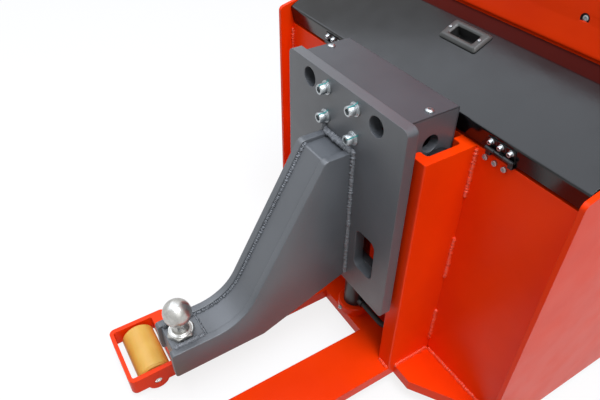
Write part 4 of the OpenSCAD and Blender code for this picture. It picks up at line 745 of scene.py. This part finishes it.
# Hinge screws, three to a leaf, and the recessed screws of the backrest shell.
HINGE_Y, HINGE_X, HINGE_Z, HINGE_W, LEAF_SHIFT = 208, 122.13, 583.48, 50.0, -8.0
SHELL_X, SHELL_R, SHELL_ARC_Y, RECESS = 310.0, 22.0, 325.7, 4.0
hinge_rows = [side * HINGE_Y + k * 18 for side in (-1, 1) for k in (-1, 0, 1)]
frame_seats = [(place(BULKHEAD_X, y, 561.5), REARWARD) for y in hinge_rows]
back_y = [share * 279.0 for share in (-1, -0.58, 0.58, 1)]
shell_seats = [(place(SHELL_X + RECESS, y, z), REARWARD) for y in back_y for z in (722, 1085)]
piece(
    "chassis_fasteners",
    joined("chassis_fasteners", [
        screw_set(socket_screw(4.7, 3.4, 2.6, 18), frame_seats, "zinc_steel"),
        screw_set(socket_screw(4.8, 2.6, 2.4, 16), shell_seats, "zinc_steel"),
    ]),
    "chassis",
    "zinc_steel",
    ["frame_screws"],
)

# The lid's rear face leans between its low and top edges, and its slope rises from there.
LID_TOP_X, LID_TOP_Z, LID_LOW_X, LID_LOW_Z = 122.0, 608.5, 129.0, 577.0
LID_RUN, LID_RISE = 132.0, 63.5
SLOPE = math.atan2(LID_RISE, LID_RUN)
# The handle's middle: its bezel ends 6 mm before the slope's upper crease.
BEZEL_HALF, BEZEL_TOP, HANDLE_Y = 21.5, 6.5, -20.0
HANDLE_RUN = math.hypot(LID_RUN, LID_RISE) - BEZEL_HALF - 6


def on_slope(along, y, above):
    """A point above the lid's slope, measured from its rear edge."""
    x = LID_TOP_X + along * math.cos(SLOPE) - above * math.sin(SLOPE)
    z = LID_TOP_Z + along * math.sin(SLOPE) + above * math.cos(SLOPE)
    return place(x, y, z)


def on_flange(up, y, out):
    """A point on the lid's leaning rear face, measured up from its lower edge and out from it."""
    length = math.hypot(LID_TOP_X - LID_LOW_X, LID_TOP_Z - LID_LOW_Z)
    dx, dz = (LID_TOP_X - LID_LOW_X) / length, (LID_TOP_Z - LID_LOW_Z) / length
    return place(LID_LOW_X + up * dx - out * dz, y, LID_LOW_Z + up * dz + out * dx)


SLOPE_UP = Vector((-math.sin(SLOPE), 0, math.cos(SLOPE)))
FLANGE_OUT = on_flange(0, 0, 1) - on_flange(0, 0, 0)
lid_seats = [(on_flange(20.5, y + LEAF_SHIFT, 1.3), FLANGE_OUT) for y in hinge_rows]
lid_screw = socket_screw(3.8, 6.4, 2.3, 18)
washer(lid_screw, 4.8, 3.2, 0.0, 1.1)
bezel_seats = [(on_slope(HANDLE_RUN, HANDLE_Y + side * 32.5, BEZEL_TOP), SLOPE_UP) for side in (-1, 1)]
piece(
    "lid_fasteners",
    joined("lid_fasteners", [
        screw_set(lid_screw, lid_seats, "zinc_steel"),
        screw_set(socket_screw(2.6, 1.6, 1.3, 12), bezel_seats, "zinc_steel"),
    ]),
    "lid",
    "zinc_steel",
    ["lid_screws"],
)

# Lid hinges: rolled knuckles of thin sheet on a pin with domed ends, and a leaf on each side.
KNUCKLE_R, SHEET, PIN_R, DOME = 3.3, 1.4, 1.7, 0.5
BULKHEAD_TOP, FOOT_TOP, FOOT_W = 571.1, 572.6, 8.0
frame_half, lid_half = bmesh.new(), bmesh.new()
third = HINGE_W / 3
roll = [(PIN_R + 0.1, 0.2), (KNUCKLE_R, 0.2), (KNUCKLE_R, third - 0.2), (PIN_R + 0.1, third - 0.2)]
pin = [(0, -1), (PIN_R - DOME, -1), (PIN_R, -0.3)]
pin += [(r, HINGE_W - height) for r, height in reversed(pin)]
sheet_edge = HINGE_X + KNUCKLE_R
foot = [(sheet_edge - SHEET, HINGE_Z), (sheet_edge, HINGE_Z), (sheet_edge, FOOT_TOP)]
foot += [(150, FOOT_TOP), (150, BULKHEAD_TOP), (sheet_edge - SHEET, BULKHEAD_TOP)]
leaf_outline = []
for up, out in ((3.0, 0.1), (26.5, 0.1), (26.5, 1.3), (9.0, 1.3), (7.4, 2.4), (5.6, 2.2), (3.0, 1.3)):
    corner = on_flange(up, 0, out)
    leaf_outline.append(Vector(((corner.x - HITCH_X) / MM, corner.z / MM)))
flat_outline = leaf_outline[:4] + leaf_outline[6:]
for side in (-1, 1):
    from_y = side * HINGE_Y + LEAF_SHIFT - HINGE_W / 2
    for k, half in enumerate((frame_half, lid_half, frame_half)):
        seat = seat_at(place(HINGE_X, from_y + k * third, HINGE_Z), -1, "X")
        turned(half, roll, seat, 40, closed=True)
    turned(frame_half, pin, seat_at(place(HINGE_X, from_y, HINGE_Z), -1, "X"), 32)
    for low in (from_y + 0.3, from_y + HINGE_W - FOOT_W - 0.3):
        prism(frame_half, [Vector(p) for p in foot], low, low + FOOT_W)
    prism(lid_half, leaf_outline, from_y + third + 0.3, from_y + 2 * third - 0.3)
    prism(lid_half, flat_outline, from_y, from_y + third - 0.3)
    prism(lid_half, flat_outline, from_y + 2 * third + 0.3, from_y + HINGE_W)
shaped("hinge_frame_halves", frame_half, "chassis", "black_paint", ["hinge_frame_leaves"])
shaped("hinge_lid_halves", lid_half, "lid", "black_paint", ["hinge_lid_leaves"], lid_coat)

# Flush handle: a chamfered grey bezel screwed down round a deep well, its near-black lining painted
# shade.
slope_frame = Matrix.Translation(on_slope(HANDLE_RUN, HANDLE_Y, 0)) @ Matrix.Rotation(-SLOPE, 4, "Y")
well_mouth, bezel_foot = (outline_loop(9.6, 25.6, 3), 3.6), (outline_loop(11.6, 27.6, 3), 0.3)
bezel = bmesh.new()
lofted(
    bezel,
    [
        bezel_foot,
        (outline_loop(BEZEL_HALF, 41, 5), 0.3),
        (outline_loop(BEZEL_HALF, 41, 5), 1.4),
        (outline_loop(21.1, 40.6, 4.8), 2.1),
        (outline_loop(17.9, 37.4, 3.6), 6.1),
        (outline_loop(17.1, 36.6, 3.4), BEZEL_TOP),
        (outline_loop(12.6, 28.6, 4), BEZEL_TOP),
        (outline_loop(11.8, 27.8, 3.6), 6.2),
        well_mouth,
        bezel_foot,
    ],
    slope_frame,
    cap_first=False,
    cap_last=False,
)
shaped("lid_grip_bezel", bezel, "lid", "grey_plastic", ["lid_handle"])
# The well's near-black, shineless finish is painted shade in the hollow.
well = bmesh.new()
lofted(
    well,
    [
        (outline_loop(11.6, 27.6, 3), -20.0),
        bezel_foot,
        well_mouth,
        (outline_loop(9.4, 25.4, 3), -15.0),
        (outline_loop(7.6, 23.6, 2.4), -17.6),
    ],
    slope_frame,
)
shaped("lid_grip_well", well, "lid", "grey_plastic", finish=recess_painted_shade)

# Backrest foot: the shell's flared lower edge, which closes the joint above the battery wall.
foot_line = [(-0.15, 718), (0.7, 698), (1.5, 687), (2.3, 679), (2.4, 676), (1.9, 674), (0.6, 672.9)]
foot_line += [(-0.6, 672.6), (-1.5, 672.6), (-1.5, 718)]
backrest_foot, foot_rings = bmesh.new(), []
for side, turns in ((-1, (80, 60, 40, 20, 0)), (1, (0, 20, 40, 60, 80))):
    for turn in turns:
        out_x, out_y = -math.cos(math.radians(turn)), side * math.sin(math.radians(turn))
        ring = []
        for out, z in foot_line:
            x = SHELL_X + SHELL_R + (SHELL_R + out) * out_x
            y = side * SHELL_ARC_Y + (SHELL_R + out) * out_y
            ring.append(backrest_foot.verts.new(place(x, y, z)))
        foot_rings.append(ring)
for ring, following in zip(foot_rings, foot_rings[1:]):
    skin_between(backrest_foot, ring, following)
backrest_foot.faces.new(foot_rings[0])
backrest_foot.faces.new(foot_rings[-1][::-1])
shaped("backrest_foot_edge", backrest_foot, "chassis", "orange_paint", crease=50)
# Near-black rings in the recesses of the shell's screws: painted shade in the hollows.
recess_shade_profile = [(7.9, -0.3), (7.9, -3.9), (4.9, -3.9), (4.9, -3.7), (7.6, -3.7), (7.6, -0.3)]
recess_shade_rings = bmesh.new()
for at, direction in shell_seats:
    turned(recess_shade_rings, recess_shade_profile, seat_at(at + direction * RECESS * MM, -1, "Y"), 48, closed=True)
shaped("backrest_screw_liners", recess_shade_rings, "chassis", "black_plastic", finish=recess_painted_shade)

# Tow ball: turned in one piece with its neck, a flat on top and a hexagon below.
BALL_R, BALL_Z, NECK_R, FLAT_R, NUT_R, ARC_STEPS = 25, 289, 14, 7.5, 25, 40
ball_profile = softened([(0, 234), (20, 234), (20, 245), (14.4, 246.4), (NECK_R, 254)], 1.6)
first, last = -math.acos(NECK_R / BALL_R), math.acos(FLAT_R / BALL_R)
for i in range(ARC_STEPS + 1):
    a = first + (last - first) * i / ARC_STEPS
    ball_profile.append((BALL_R * math.cos(a), BALL_Z + BALL_R * math.sin(a)))
ball_profile.append((0, ball_profile[-1][1]))
ball = bmesh.new()
ball_spot = Matrix.Translation((BALL_X, 0, 0))
turned(ball, ball_profile, ball_spot)


def nut_loop(height, cone):
    """Hexagon of 50 mm across its corners, cut back to a cone as a chamfered nut is."""
    loop = []
    for i in range(96):
        a = 2 * math.pi * i / 96
        bend = (a % (math.pi / 3)) - math.pi / 6
        r = min(NUT_R * math.cos(math.pi / 6) / math.cos(bend), cone)
        loop.append((r * math.cos(a), r * math.sin(a)))
    return loop, height


nut_levels = ((234, 25), (241.6, 25), (242.8, 24.1), (244, 22.9), (245, 21.6))
lofted(ball, [nut_loop(height, cone) for height, cone in nut_levels], ball_spot)
# Machined and polished steel: faint turning bands along the ball's axis, 7.5 mm apart so they show.
BAND_PITCH = 0.00754
ball_steel, ball_tree, ball_where = new_material("polished_tow_ball_steel")
centred = add(ball_tree, "ShaderNodeMapping", {"Vector": ball_where, "Location": (-BALL_X, 0.0, 0.0)})
bands = add(
    ball_tree,
    "ShaderNodeTexWave",
    {
        "Vector": centred.outputs[0],
        "Scale": 2 * math.pi / (20 * BAND_PITCH),
        "Distortion": 0.6,
        "Detail": 2.0,
        "Detail Scale": 40.0,
    },
    bands_direction="Z",
).outputs["Fac"]
smear = noise(ball_tree, ball_where, 0.008, 4.0, 0.6)
finish_shader(
    ball_tree,
    {
        "Base Color": mixed(ball_tree, spread(ball_tree, smear, 0.35, 0.7), "#BDBCB8", "#A2A19D"),
        "Metallic": 1.0,
        "Roughness": spread(ball_tree, smear, 0.3, 0.7, 0.26, 0.4),
        "Normal": bump(ball_tree, bands, 0.000012),
    },
)
shaped("tow_ball_turned", ball, "carriage", "bright_steel", ["tow_ball"], ball_steel)

# Factory witness marks: a stroke of teal paint over each plate screw's head, washers and seat.
witness_paint = moulded("teal_witness_paint", "#3F8F8C", "#357F7D", 0.5, grain=0.003, depth=0.00003)
# The stroke's way from the head down to the plate: distance from the axis and height, in millimetres.
stroke_line = [(5.2, 16.45), (9.15, 16.4), (9.2, 4.5), (10.3, 4.4)]
stroke_line += [(10.4, 2.7), (12.1, 2.6), (12.2, 0.15), (15.5, 0.12)]
stroke = bmesh.new()
for (at, direction), angle in zip(plate_seats, (105, 135, 100, 112)):
    away = Vector((0, math.cos(math.radians(angle)), math.sin(math.radians(angle))))
    aside = Vector((0, -away.z, away.y))
    left, right = [], []
    for reach, proud in stroke_line:
        half_width = 1.1 + 0.25 * math.sin(reach)
        middle = at + (away * reach + direction * proud) * MM
        left.append(stroke.verts.new(middle - aside * half_width * MM))
        right.append(stroke.verts.new(middle + aside * half_width * MM))
    for i in range(len(left) - 1):
        stroke.faces.new((left[i], left[i + 1], right[i + 1], right[i]))
shaped("screw_witness_marks", stroke, "carriage", "zinc_steel", finish=witness_paint)


# Backrest pad


pad_lo, pad_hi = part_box("backrest_pad")
PAD_DEPTH = pad_hi.x - pad_lo.x
# The sewn channels at shares of the pad's width, and their width and depth in metres.
CHANNELS, CHANNEL_WIDTH, CHANNEL_DEPTH = (0.33, 0.67), 0.011, 0.0085
# The cloth's cell and how far its pressure may move a point, in metres, and the frames it settles in.
CLOTH_CELL, CLOTH_REACH, CLOTH_FRAMES = 0.005, 0.012, 20


def pad_blank():
    """The pad's foam before it swells: a slab with rounded rim, a little smaller than the pad."""
    middle = (pad_lo + pad_hi) / 2
    half_y, half_z = (pad_hi.y - pad_lo.y) / 2 / MM, (pad_hi.z - pad_lo.z) / 2 / MM
    base = seat_at((pad_lo.x, middle.y, middle.z), 1, "Y")
    deep = PAD_DEPTH / MM
    loops = []
    for rim, share in ((6, 0.01), (4, 0.15), (4, 0.35), (7, 0.52), (14, 0.6), (25, 0.64)):
        loops.append((outline_loop(half_z - rim, half_y - rim, 26 - 0.5 * rim, 8), share * deep))
    bm = bmesh.new()
    lofted(bm, loops, base)
    return to_mesh("pad_blank", bm)


def swollen(mesh, voxel, reach):
    """Fills a closed cover with pressure and lets the cloth settle, its back held to the shell."""
    obj = linked("pad_cover", mesh)
    remesh = obj.modifiers.new("even_cells", "REMESH")
    remesh.mode = "VOXEL"
    remesh.voxel_size = voxel
    even = evaluated(obj)
    obj.modifiers.remove(remesh)
    obj.data = even
    held = obj.vertex_groups.new(name="held")
    start = [v.co.copy() for v in even.vertices]
    held.add([i for i, at in enumerate(start) if at.x < pad_lo.x + 0.0025], 1.0, "REPLACE")
    cloth = obj.modifiers.new("fill", "CLOTH")
    cloth.settings.vertex_group_mass = "held"
    cloth.settings.use_pressure = True
    cloth.settings.uniform_pressure_force = 4.0
    cloth.settings.effector_weights.gravity = 0.0
    cloth.point_cache.frame_start, cloth.point_cache.frame_end = 1, CLOTH_FRAMES
    for frame_number in range(1, CLOTH_FRAMES + 1):
        scene.frame_set(frame_number)
    result = evaluated(obj)
    scene.frame_set(1)
    bpy.data.objects.remove(obj)
    for vert, at in zip(result.vertices, start):
        move = vert.co - at
        if move.length > reach:
            vert.co = at + move.normalized() * reach
    return result


def sew(mesh):
    """Draws in the two sewn channels and keeps the cover inside its space."""
    wide = pad_hi.y - pad_lo.y
    for vert in mesh.vertices:
        depth = (vert.co.x - pad_lo.x) / PAD_DEPTH
        for share in CHANNELS:
            off = (vert.co.y - (pad_lo.y + share * wide)) / CHANNEL_WIDTH
            vert.co.x -= CHANNEL_DEPTH * math.exp(-off * off) * max(0.0, min(1.0, 2 * depth - 0.4))
        for i in range(3):
            vert.co[i] = min(max(vert.co[i], pad_lo[i] + 0.0003), pad_hi[i] + 0.001)


def subdivided(mesh):
    """The mesh after one round of smooth subdivision."""
    obj = linked("smooth", mesh)
    smooth = obj.modifiers.new("smooth", "SUBSURF")
    smooth.levels = smooth.render_levels = 1
    result = evaluated(obj)
    bpy.data.objects.remove(obj)
    return result


pad_mesh = pad_blank()
pad_mesh = swollen(pad_mesh, CLOTH_CELL, CLOTH_REACH)
sew(pad_mesh)
pad_mesh = subdivided(pad_mesh)
pad = piece("backrest_cushion", pad_mesh, "chassis", "pad_vinyl", ["backrest_pad"], crease=80)

# Seam thread: short stitches on both sides of the sewn channels, laid on the cover.
stitch_sizes = ("Stitch Length", "Thread")
stitch_tree, stitch_in = grow_tree("stitch_rows", dict.fromkeys(stitch_sizes, "NodeSocketFloat"))
bar = add(
    stitch_tree, "GeometryNodeMeshIcoSphere", {"Radius": stitch_in["Thread"], "Subdivisions": 2}
)
long_bar = add(
    stitch_tree, "GeometryNodeTransform", {"Geometry": bar.outputs[0], "Scale": (1.0, 1.0, 3.2)}
)
end_tree(
    stitch_tree,
    {
        "Points": stepped(stitch_tree, stitch_in["Guide"], stitch_in["Stitch Length"]),
        "Instance": long_bar.outputs[0],
        "Rotation": facing(stitch_tree, add(stitch_tree, "GeometryNodeInputTangent").outputs[0]),
    },
    stitch_in["Finish"],
)


def cell(y, z):
    """The small cell of the cover that a place lies in."""
    return round(y / 0.003), round(z / 0.004)


surface = {}
for vert in pad_mesh.vertices:
    key = cell(vert.co.y, vert.co.z)
    surface[key] = max(surface.get(key, vert.co.x), vert.co.x)


def on_cover(y, z):
    """Front of the cushion's cover at that place, from the finished mesh."""
    row, column = cell(y, z)
    keys = [(row + i, column + j) for i in (-1, 0, 1) for j in (-1, 0, 1)]
    near = [surface[key] for key in keys if key in surface]
    return sum(near) / len(near) if near else pad_lo.x


thread = moulded("bonded_grey_thread", "#4A4B4D", "#56585A", 0.6, grain=0.001)
# Rows of thread lie this far beside a channel and end this far inside the pad's edge, in metres.
BESIDE, SHORT, ROW_STEPS = 0.007, 0.02, 60
rows, row_edges = [], []
for share in CHANNELS:
    channel_y = pad_lo.y + share * (pad_hi.y - pad_lo.y)
    for y in (channel_y - BESIDE, channel_y + BESIDE):
        first = len(rows)
        for k in range(ROW_STEPS + 1):
            z = pad_lo.z + SHORT + (pad_hi.z - pad_lo.z - 2 * SHORT) * k / ROW_STEPS
            rows.append((on_cover(y, z) + 0.0001, y, z))
        row_edges += [(i, i + 1) for i in range(first, len(rows) - 1)]
stitch_guide = bpy.data.meshes.new("stitch_guide")
stitch_guide.from_pydata(rows, row_edges, [])
thread_sizes = {"Stitch Length": 0.0062, "Thread": 0.0007, "Finish": thread}
stitches = grown(stitch_guide, stitch_tree, thread_sizes)
piece("cushion_stitches", stitches, "chassis", "pad_vinyl", finish=thread)

# Piping: a thin vinyl roll in the seam round the cushion's rim.
pad_middle = (pad_lo + pad_hi) / 2
rim = outline_loop((pad_hi.z - pad_lo.z) / 2 / MM - 3, (pad_hi.y - pad_lo.y) / 2 / MM - 3, 25, 8)
PIPING_R, FORWARD = 0.003, Vector((1, 0, 0))
piping, hoops = bmesh.new(), []
for k, (u, v) in enumerate(rim):
    ahead, behind = rim[(k + 1) % len(rim)], rim[k - 1]
    along = Vector((0, ahead[1] - behind[1], -(ahead[0] - behind[0]))).normalized()
    outward = along.cross(FORWARD)
    centre = Vector((pad_lo.x + 0.0035, pad_middle.y + v * MM, pad_middle.z - u * MM))
    hoop = []
    for a in [2 * math.pi * i / 12 for i in range(12)]:
        out = math.cos(a) * FORWARD + math.sin(a) * outward
        hoop.append(piping.verts.new(centre + PIPING_R * out))
    hoops.append(hoop)
for hoop, following in zip(hoops, hoops[1:] + hoops[:1]):
    skin_between(piping, hoop, following)
shaped("cushion_piping", piping, "chassis", "pad_vinyl", crease=80)

# Controls

LEAN = math.radians(20)
COLUMN_FOOT = place(902, 0, 952.8)
column_frame = Matrix.Translation(COLUMN_FOOT) @ Matrix.Rotation(-LEAN, 4, "Y")

# Emergency stop: a mushroom head with a grip edge over a yellow collar.
stop_seat = column_frame @ Matrix.Translation((0, 0.12, 0))
mushroom, collar = bmesh.new(), bmesh.new()
stop_line = [(0, -18), (9, -18), (9, 9), (15.5, 9), (19.8, 12.4)]
stop_line += [(19.8, 18.4), (16, 21), (8, 21.8), (0, 22)]
turned(mushroom, softened(stop_line, 1.6), stop_seat)
shaped("stop_mushroom", mushroom, "emergency_button", "red_plastic", ["emergency_button"])
collar_line = [(9.6, 0.2), (22, 0.2), (22, 2.2), (17, 3.6), (9.6, 3.6)]
turned(collar, softened(collar_line, 0.8), stop_seat, closed=True)
shaped("stop_collar", collar, "chassis", "yellow_plastic")

# Headlamps: a clear stepped lens in front of a bright bowl, in a black ring.
lamp_lo, lamp_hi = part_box("headlamps")
LAMP_R = (lamp_hi.z - lamp_lo.z) / 2 / MM
lamp_z, lamp_y = (lamp_lo.z + lamp_hi.z) / 2, lamp_hi.y - LAMP_R * MM


def lamp_line(*points):
    """A profile from pairs of a share of the lamp's radius and a height."""
    return [(share * LAMP_R, height) for share, height in points]


bowl = lamp_line((0, -27.4), (0.29, -25.6), (0.81, -2.6), (0.81, -1.8), (0.78, -2.9))
bowl += lamp_line((0.6, -10.9), (0.4, -19.7), (0.25, -23.6), (0, -24.6))
ring = lamp_line((0, -34), (0.7, -34), (1, -17), (1, 2), (0.97, 3))
ring += lamp_line((0.84, 3), (0.83, -2), (0.3, -26), (0, -28))
dome = [(0, -24.3), (5, -24.3), (5, -19), (3.6, -16.6), (0, -15.6)]
LENS_STEPS = 8
steps_out = [(0, 2.4)]
for k in range(1, LENS_STEPS + 1):
    r, drop = 0.8 * LAMP_R * k / LENS_STEPS, 0.9 * (k / LENS_STEPS) ** 2
    steps_out += [(r - 0.4, 2.4 - drop), (r, 1.8 - drop)]
steps_out += lamp_line((0.82, -1.5), (0, -1.5))
lens, housing, reflector, emitter = [bmesh.new() for _ in range(4)]
for side in (-1, 1):
    seat = seat_at((lamp_hi.x - 3 * MM, side * lamp_y, lamp_z), 1, "Y")
    turned(lens, steps_out, seat)
    turned(housing, softened(ring, 0.8), seat)
    turned(reflector, bowl, seat)
    turned(emitter, dome, seat, 32)
shaped("headlamp_lenses", lens, "chassis", "lamp_lens", ["headlamps"])
shaped("headlamp_housings", housing, "chassis", "black_plastic")
shaped("headlamp_reflectors", reflector, "chassis", "lamp_lens", finish=hard_chrome)
shaped("headlamp_emitters", emitter, "chassis", "lamp_lens", finish=opal_dome)

# Rounded covers: a merged copy of each CAD node, so that its bends shade as one surface.
for name in ("front_hood", "backrest_shell", "bumper"):
    cover = bmesh.new()
    cover.from_mesh(frame["nodes"][name].data)
    made = shaped(name + "_cover", cover, "chassis", slot_of_node[name], [name], crease=20)
    evener = made.modifiers.new("even_normals", "WEIGHTED_NORMAL")
    evener.keep_sharp = True

# Stage

HALF_FLOOR = 14.0
corners = [(x * HALF_FLOOR, y * HALF_FLOOR, 0) for x, y in ((-1, -1), (1, -1), (1, 1), (-1, 1))]
floor_mesh = bpy.data.meshes.new("floor")
floor_mesh.from_pydata(corners, [], [(0, 1, 2, 3)])
floor = linked("floor", floor_mesh)


def background_rays(tree):
    """1 for the rays that show the background: camera, mirror and see-through rays."""
    path = add(tree, "ShaderNodeLightPath")
    seen = path.outputs["Is Camera Ray"]
    for ray in ("Is Glossy Ray", "Is Transmission Ray"):
        either = {0: seen, 1: path.outputs[ray]}
        seen = add(tree, "ShaderNodeMath", either, operation="MAXIMUM").outputs[0]
    return seen


# Sealed pale floor: matt and almost white to the eye, and dimmer as a bounce on the machine.
floor_material, floor_tree, _ = new_material("pale_floor")
floor_seen = background_rays(floor_tree)
floor_tone = mixed(floor_tree, floor_seen, "#8F8A82", "#F6F6F6")
floor_shade = add(floor_tree, "ShaderNodeBsdfPrincipled", {"Base Color": floor_tone, "Roughness": 0.9})
floor_glow = add(floor_tree, "ShaderNodeEmission", {"Color": (1, 1, 1, 1), "Strength": 1.0})
floor_share = add(floor_tree, "ShaderNodeMath", {0: floor_seen, 1: 0.82}, operation="MULTIPLY")
floor_mix = add(
    floor_tree,
    "ShaderNodeMixShader",
    {0: floor_share.outputs[0], 1: floor_shade.outputs[0], 2: floor_glow.outputs[0]},
)
add(floor_tree, "ShaderNodeOutputMaterial", {"Surface": floor_mix.outputs[0]})
floor_mesh.materials.append(floor_material)

world = bpy.data.worlds.new("studio")
scene.world = world
world.use_nodes = True
world.node_tree.nodes.clear()
ambient = add(world.node_tree, "ShaderNodeBackground", {"Color": colour("#F1F4F8"), "Strength": 0.36})
backdrop = add(world.node_tree, "ShaderNodeBackground", {"Color": (1, 1, 1, 1), "Strength": 1.0})
choice = add(
    world.node_tree,
    "ShaderNodeMixShader",
    {0: background_rays(world.node_tree), 1: ambient.outputs[0], 2: backdrop.outputs[0]},
)
add(world.node_tree, "ShaderNodeOutputWorld", {"Surface": choice.outputs[0]})


def softbox(name, at, aim, size, watts, tint):
    """A square studio softbox that looks at a point."""
    light = bpy.data.lights.new(name, "AREA")
    light.shape = "SQUARE"
    light.size = size
    light.energy = watts
    light.color = colour(tint)[:3]
    lamp = linked(name, light)
    lamp.location = at
    lamp.rotation_euler = (Vector(aim) - Vector(at)).to_track_quat("-Z", "Y").to_euler()


softbox("ceiling_softbox", (-1.5, 1.9, 3.9), (-0.2, 0.1, 0.5), 4.0, 110, "#EAF2FF")
softbox("overhead_softbox", (-0.6, -1.3, 3.6), (-0.3, 0.0, 0.4), 1.6, 118, "#F4F8FF")
softbox("side_softbox", (-0.7, -3.4, 2.4), (-0.2, 0.0, 0.5), 2.0, 18, "#FFFFFF")

# Camera

# Place, direction and focal length come from the photograph's vanishing points.
SENSOR_WIDTH, FOCAL_PIXELS, FRAME_PIXELS = 36.0, 550.6, 600
camera_data = bpy.data.cameras.new("photo_camera")
camera_data.sensor_width = SENSOR_WIDTH
camera_data.lens = SENSOR_WIDTH * FOCAL_PIXELS / FRAME_PIXELS
camera = linked("photo_camera", camera_data)
camera.location = (-0.8305, -0.609, 1.039)
camera.rotation_euler = Vector((0.398, 0.649, -0.648)).to_track_quat("-Z", "Y").to_euler()
scene.camera = camera

scene.view_settings.view_transform = "Standard"
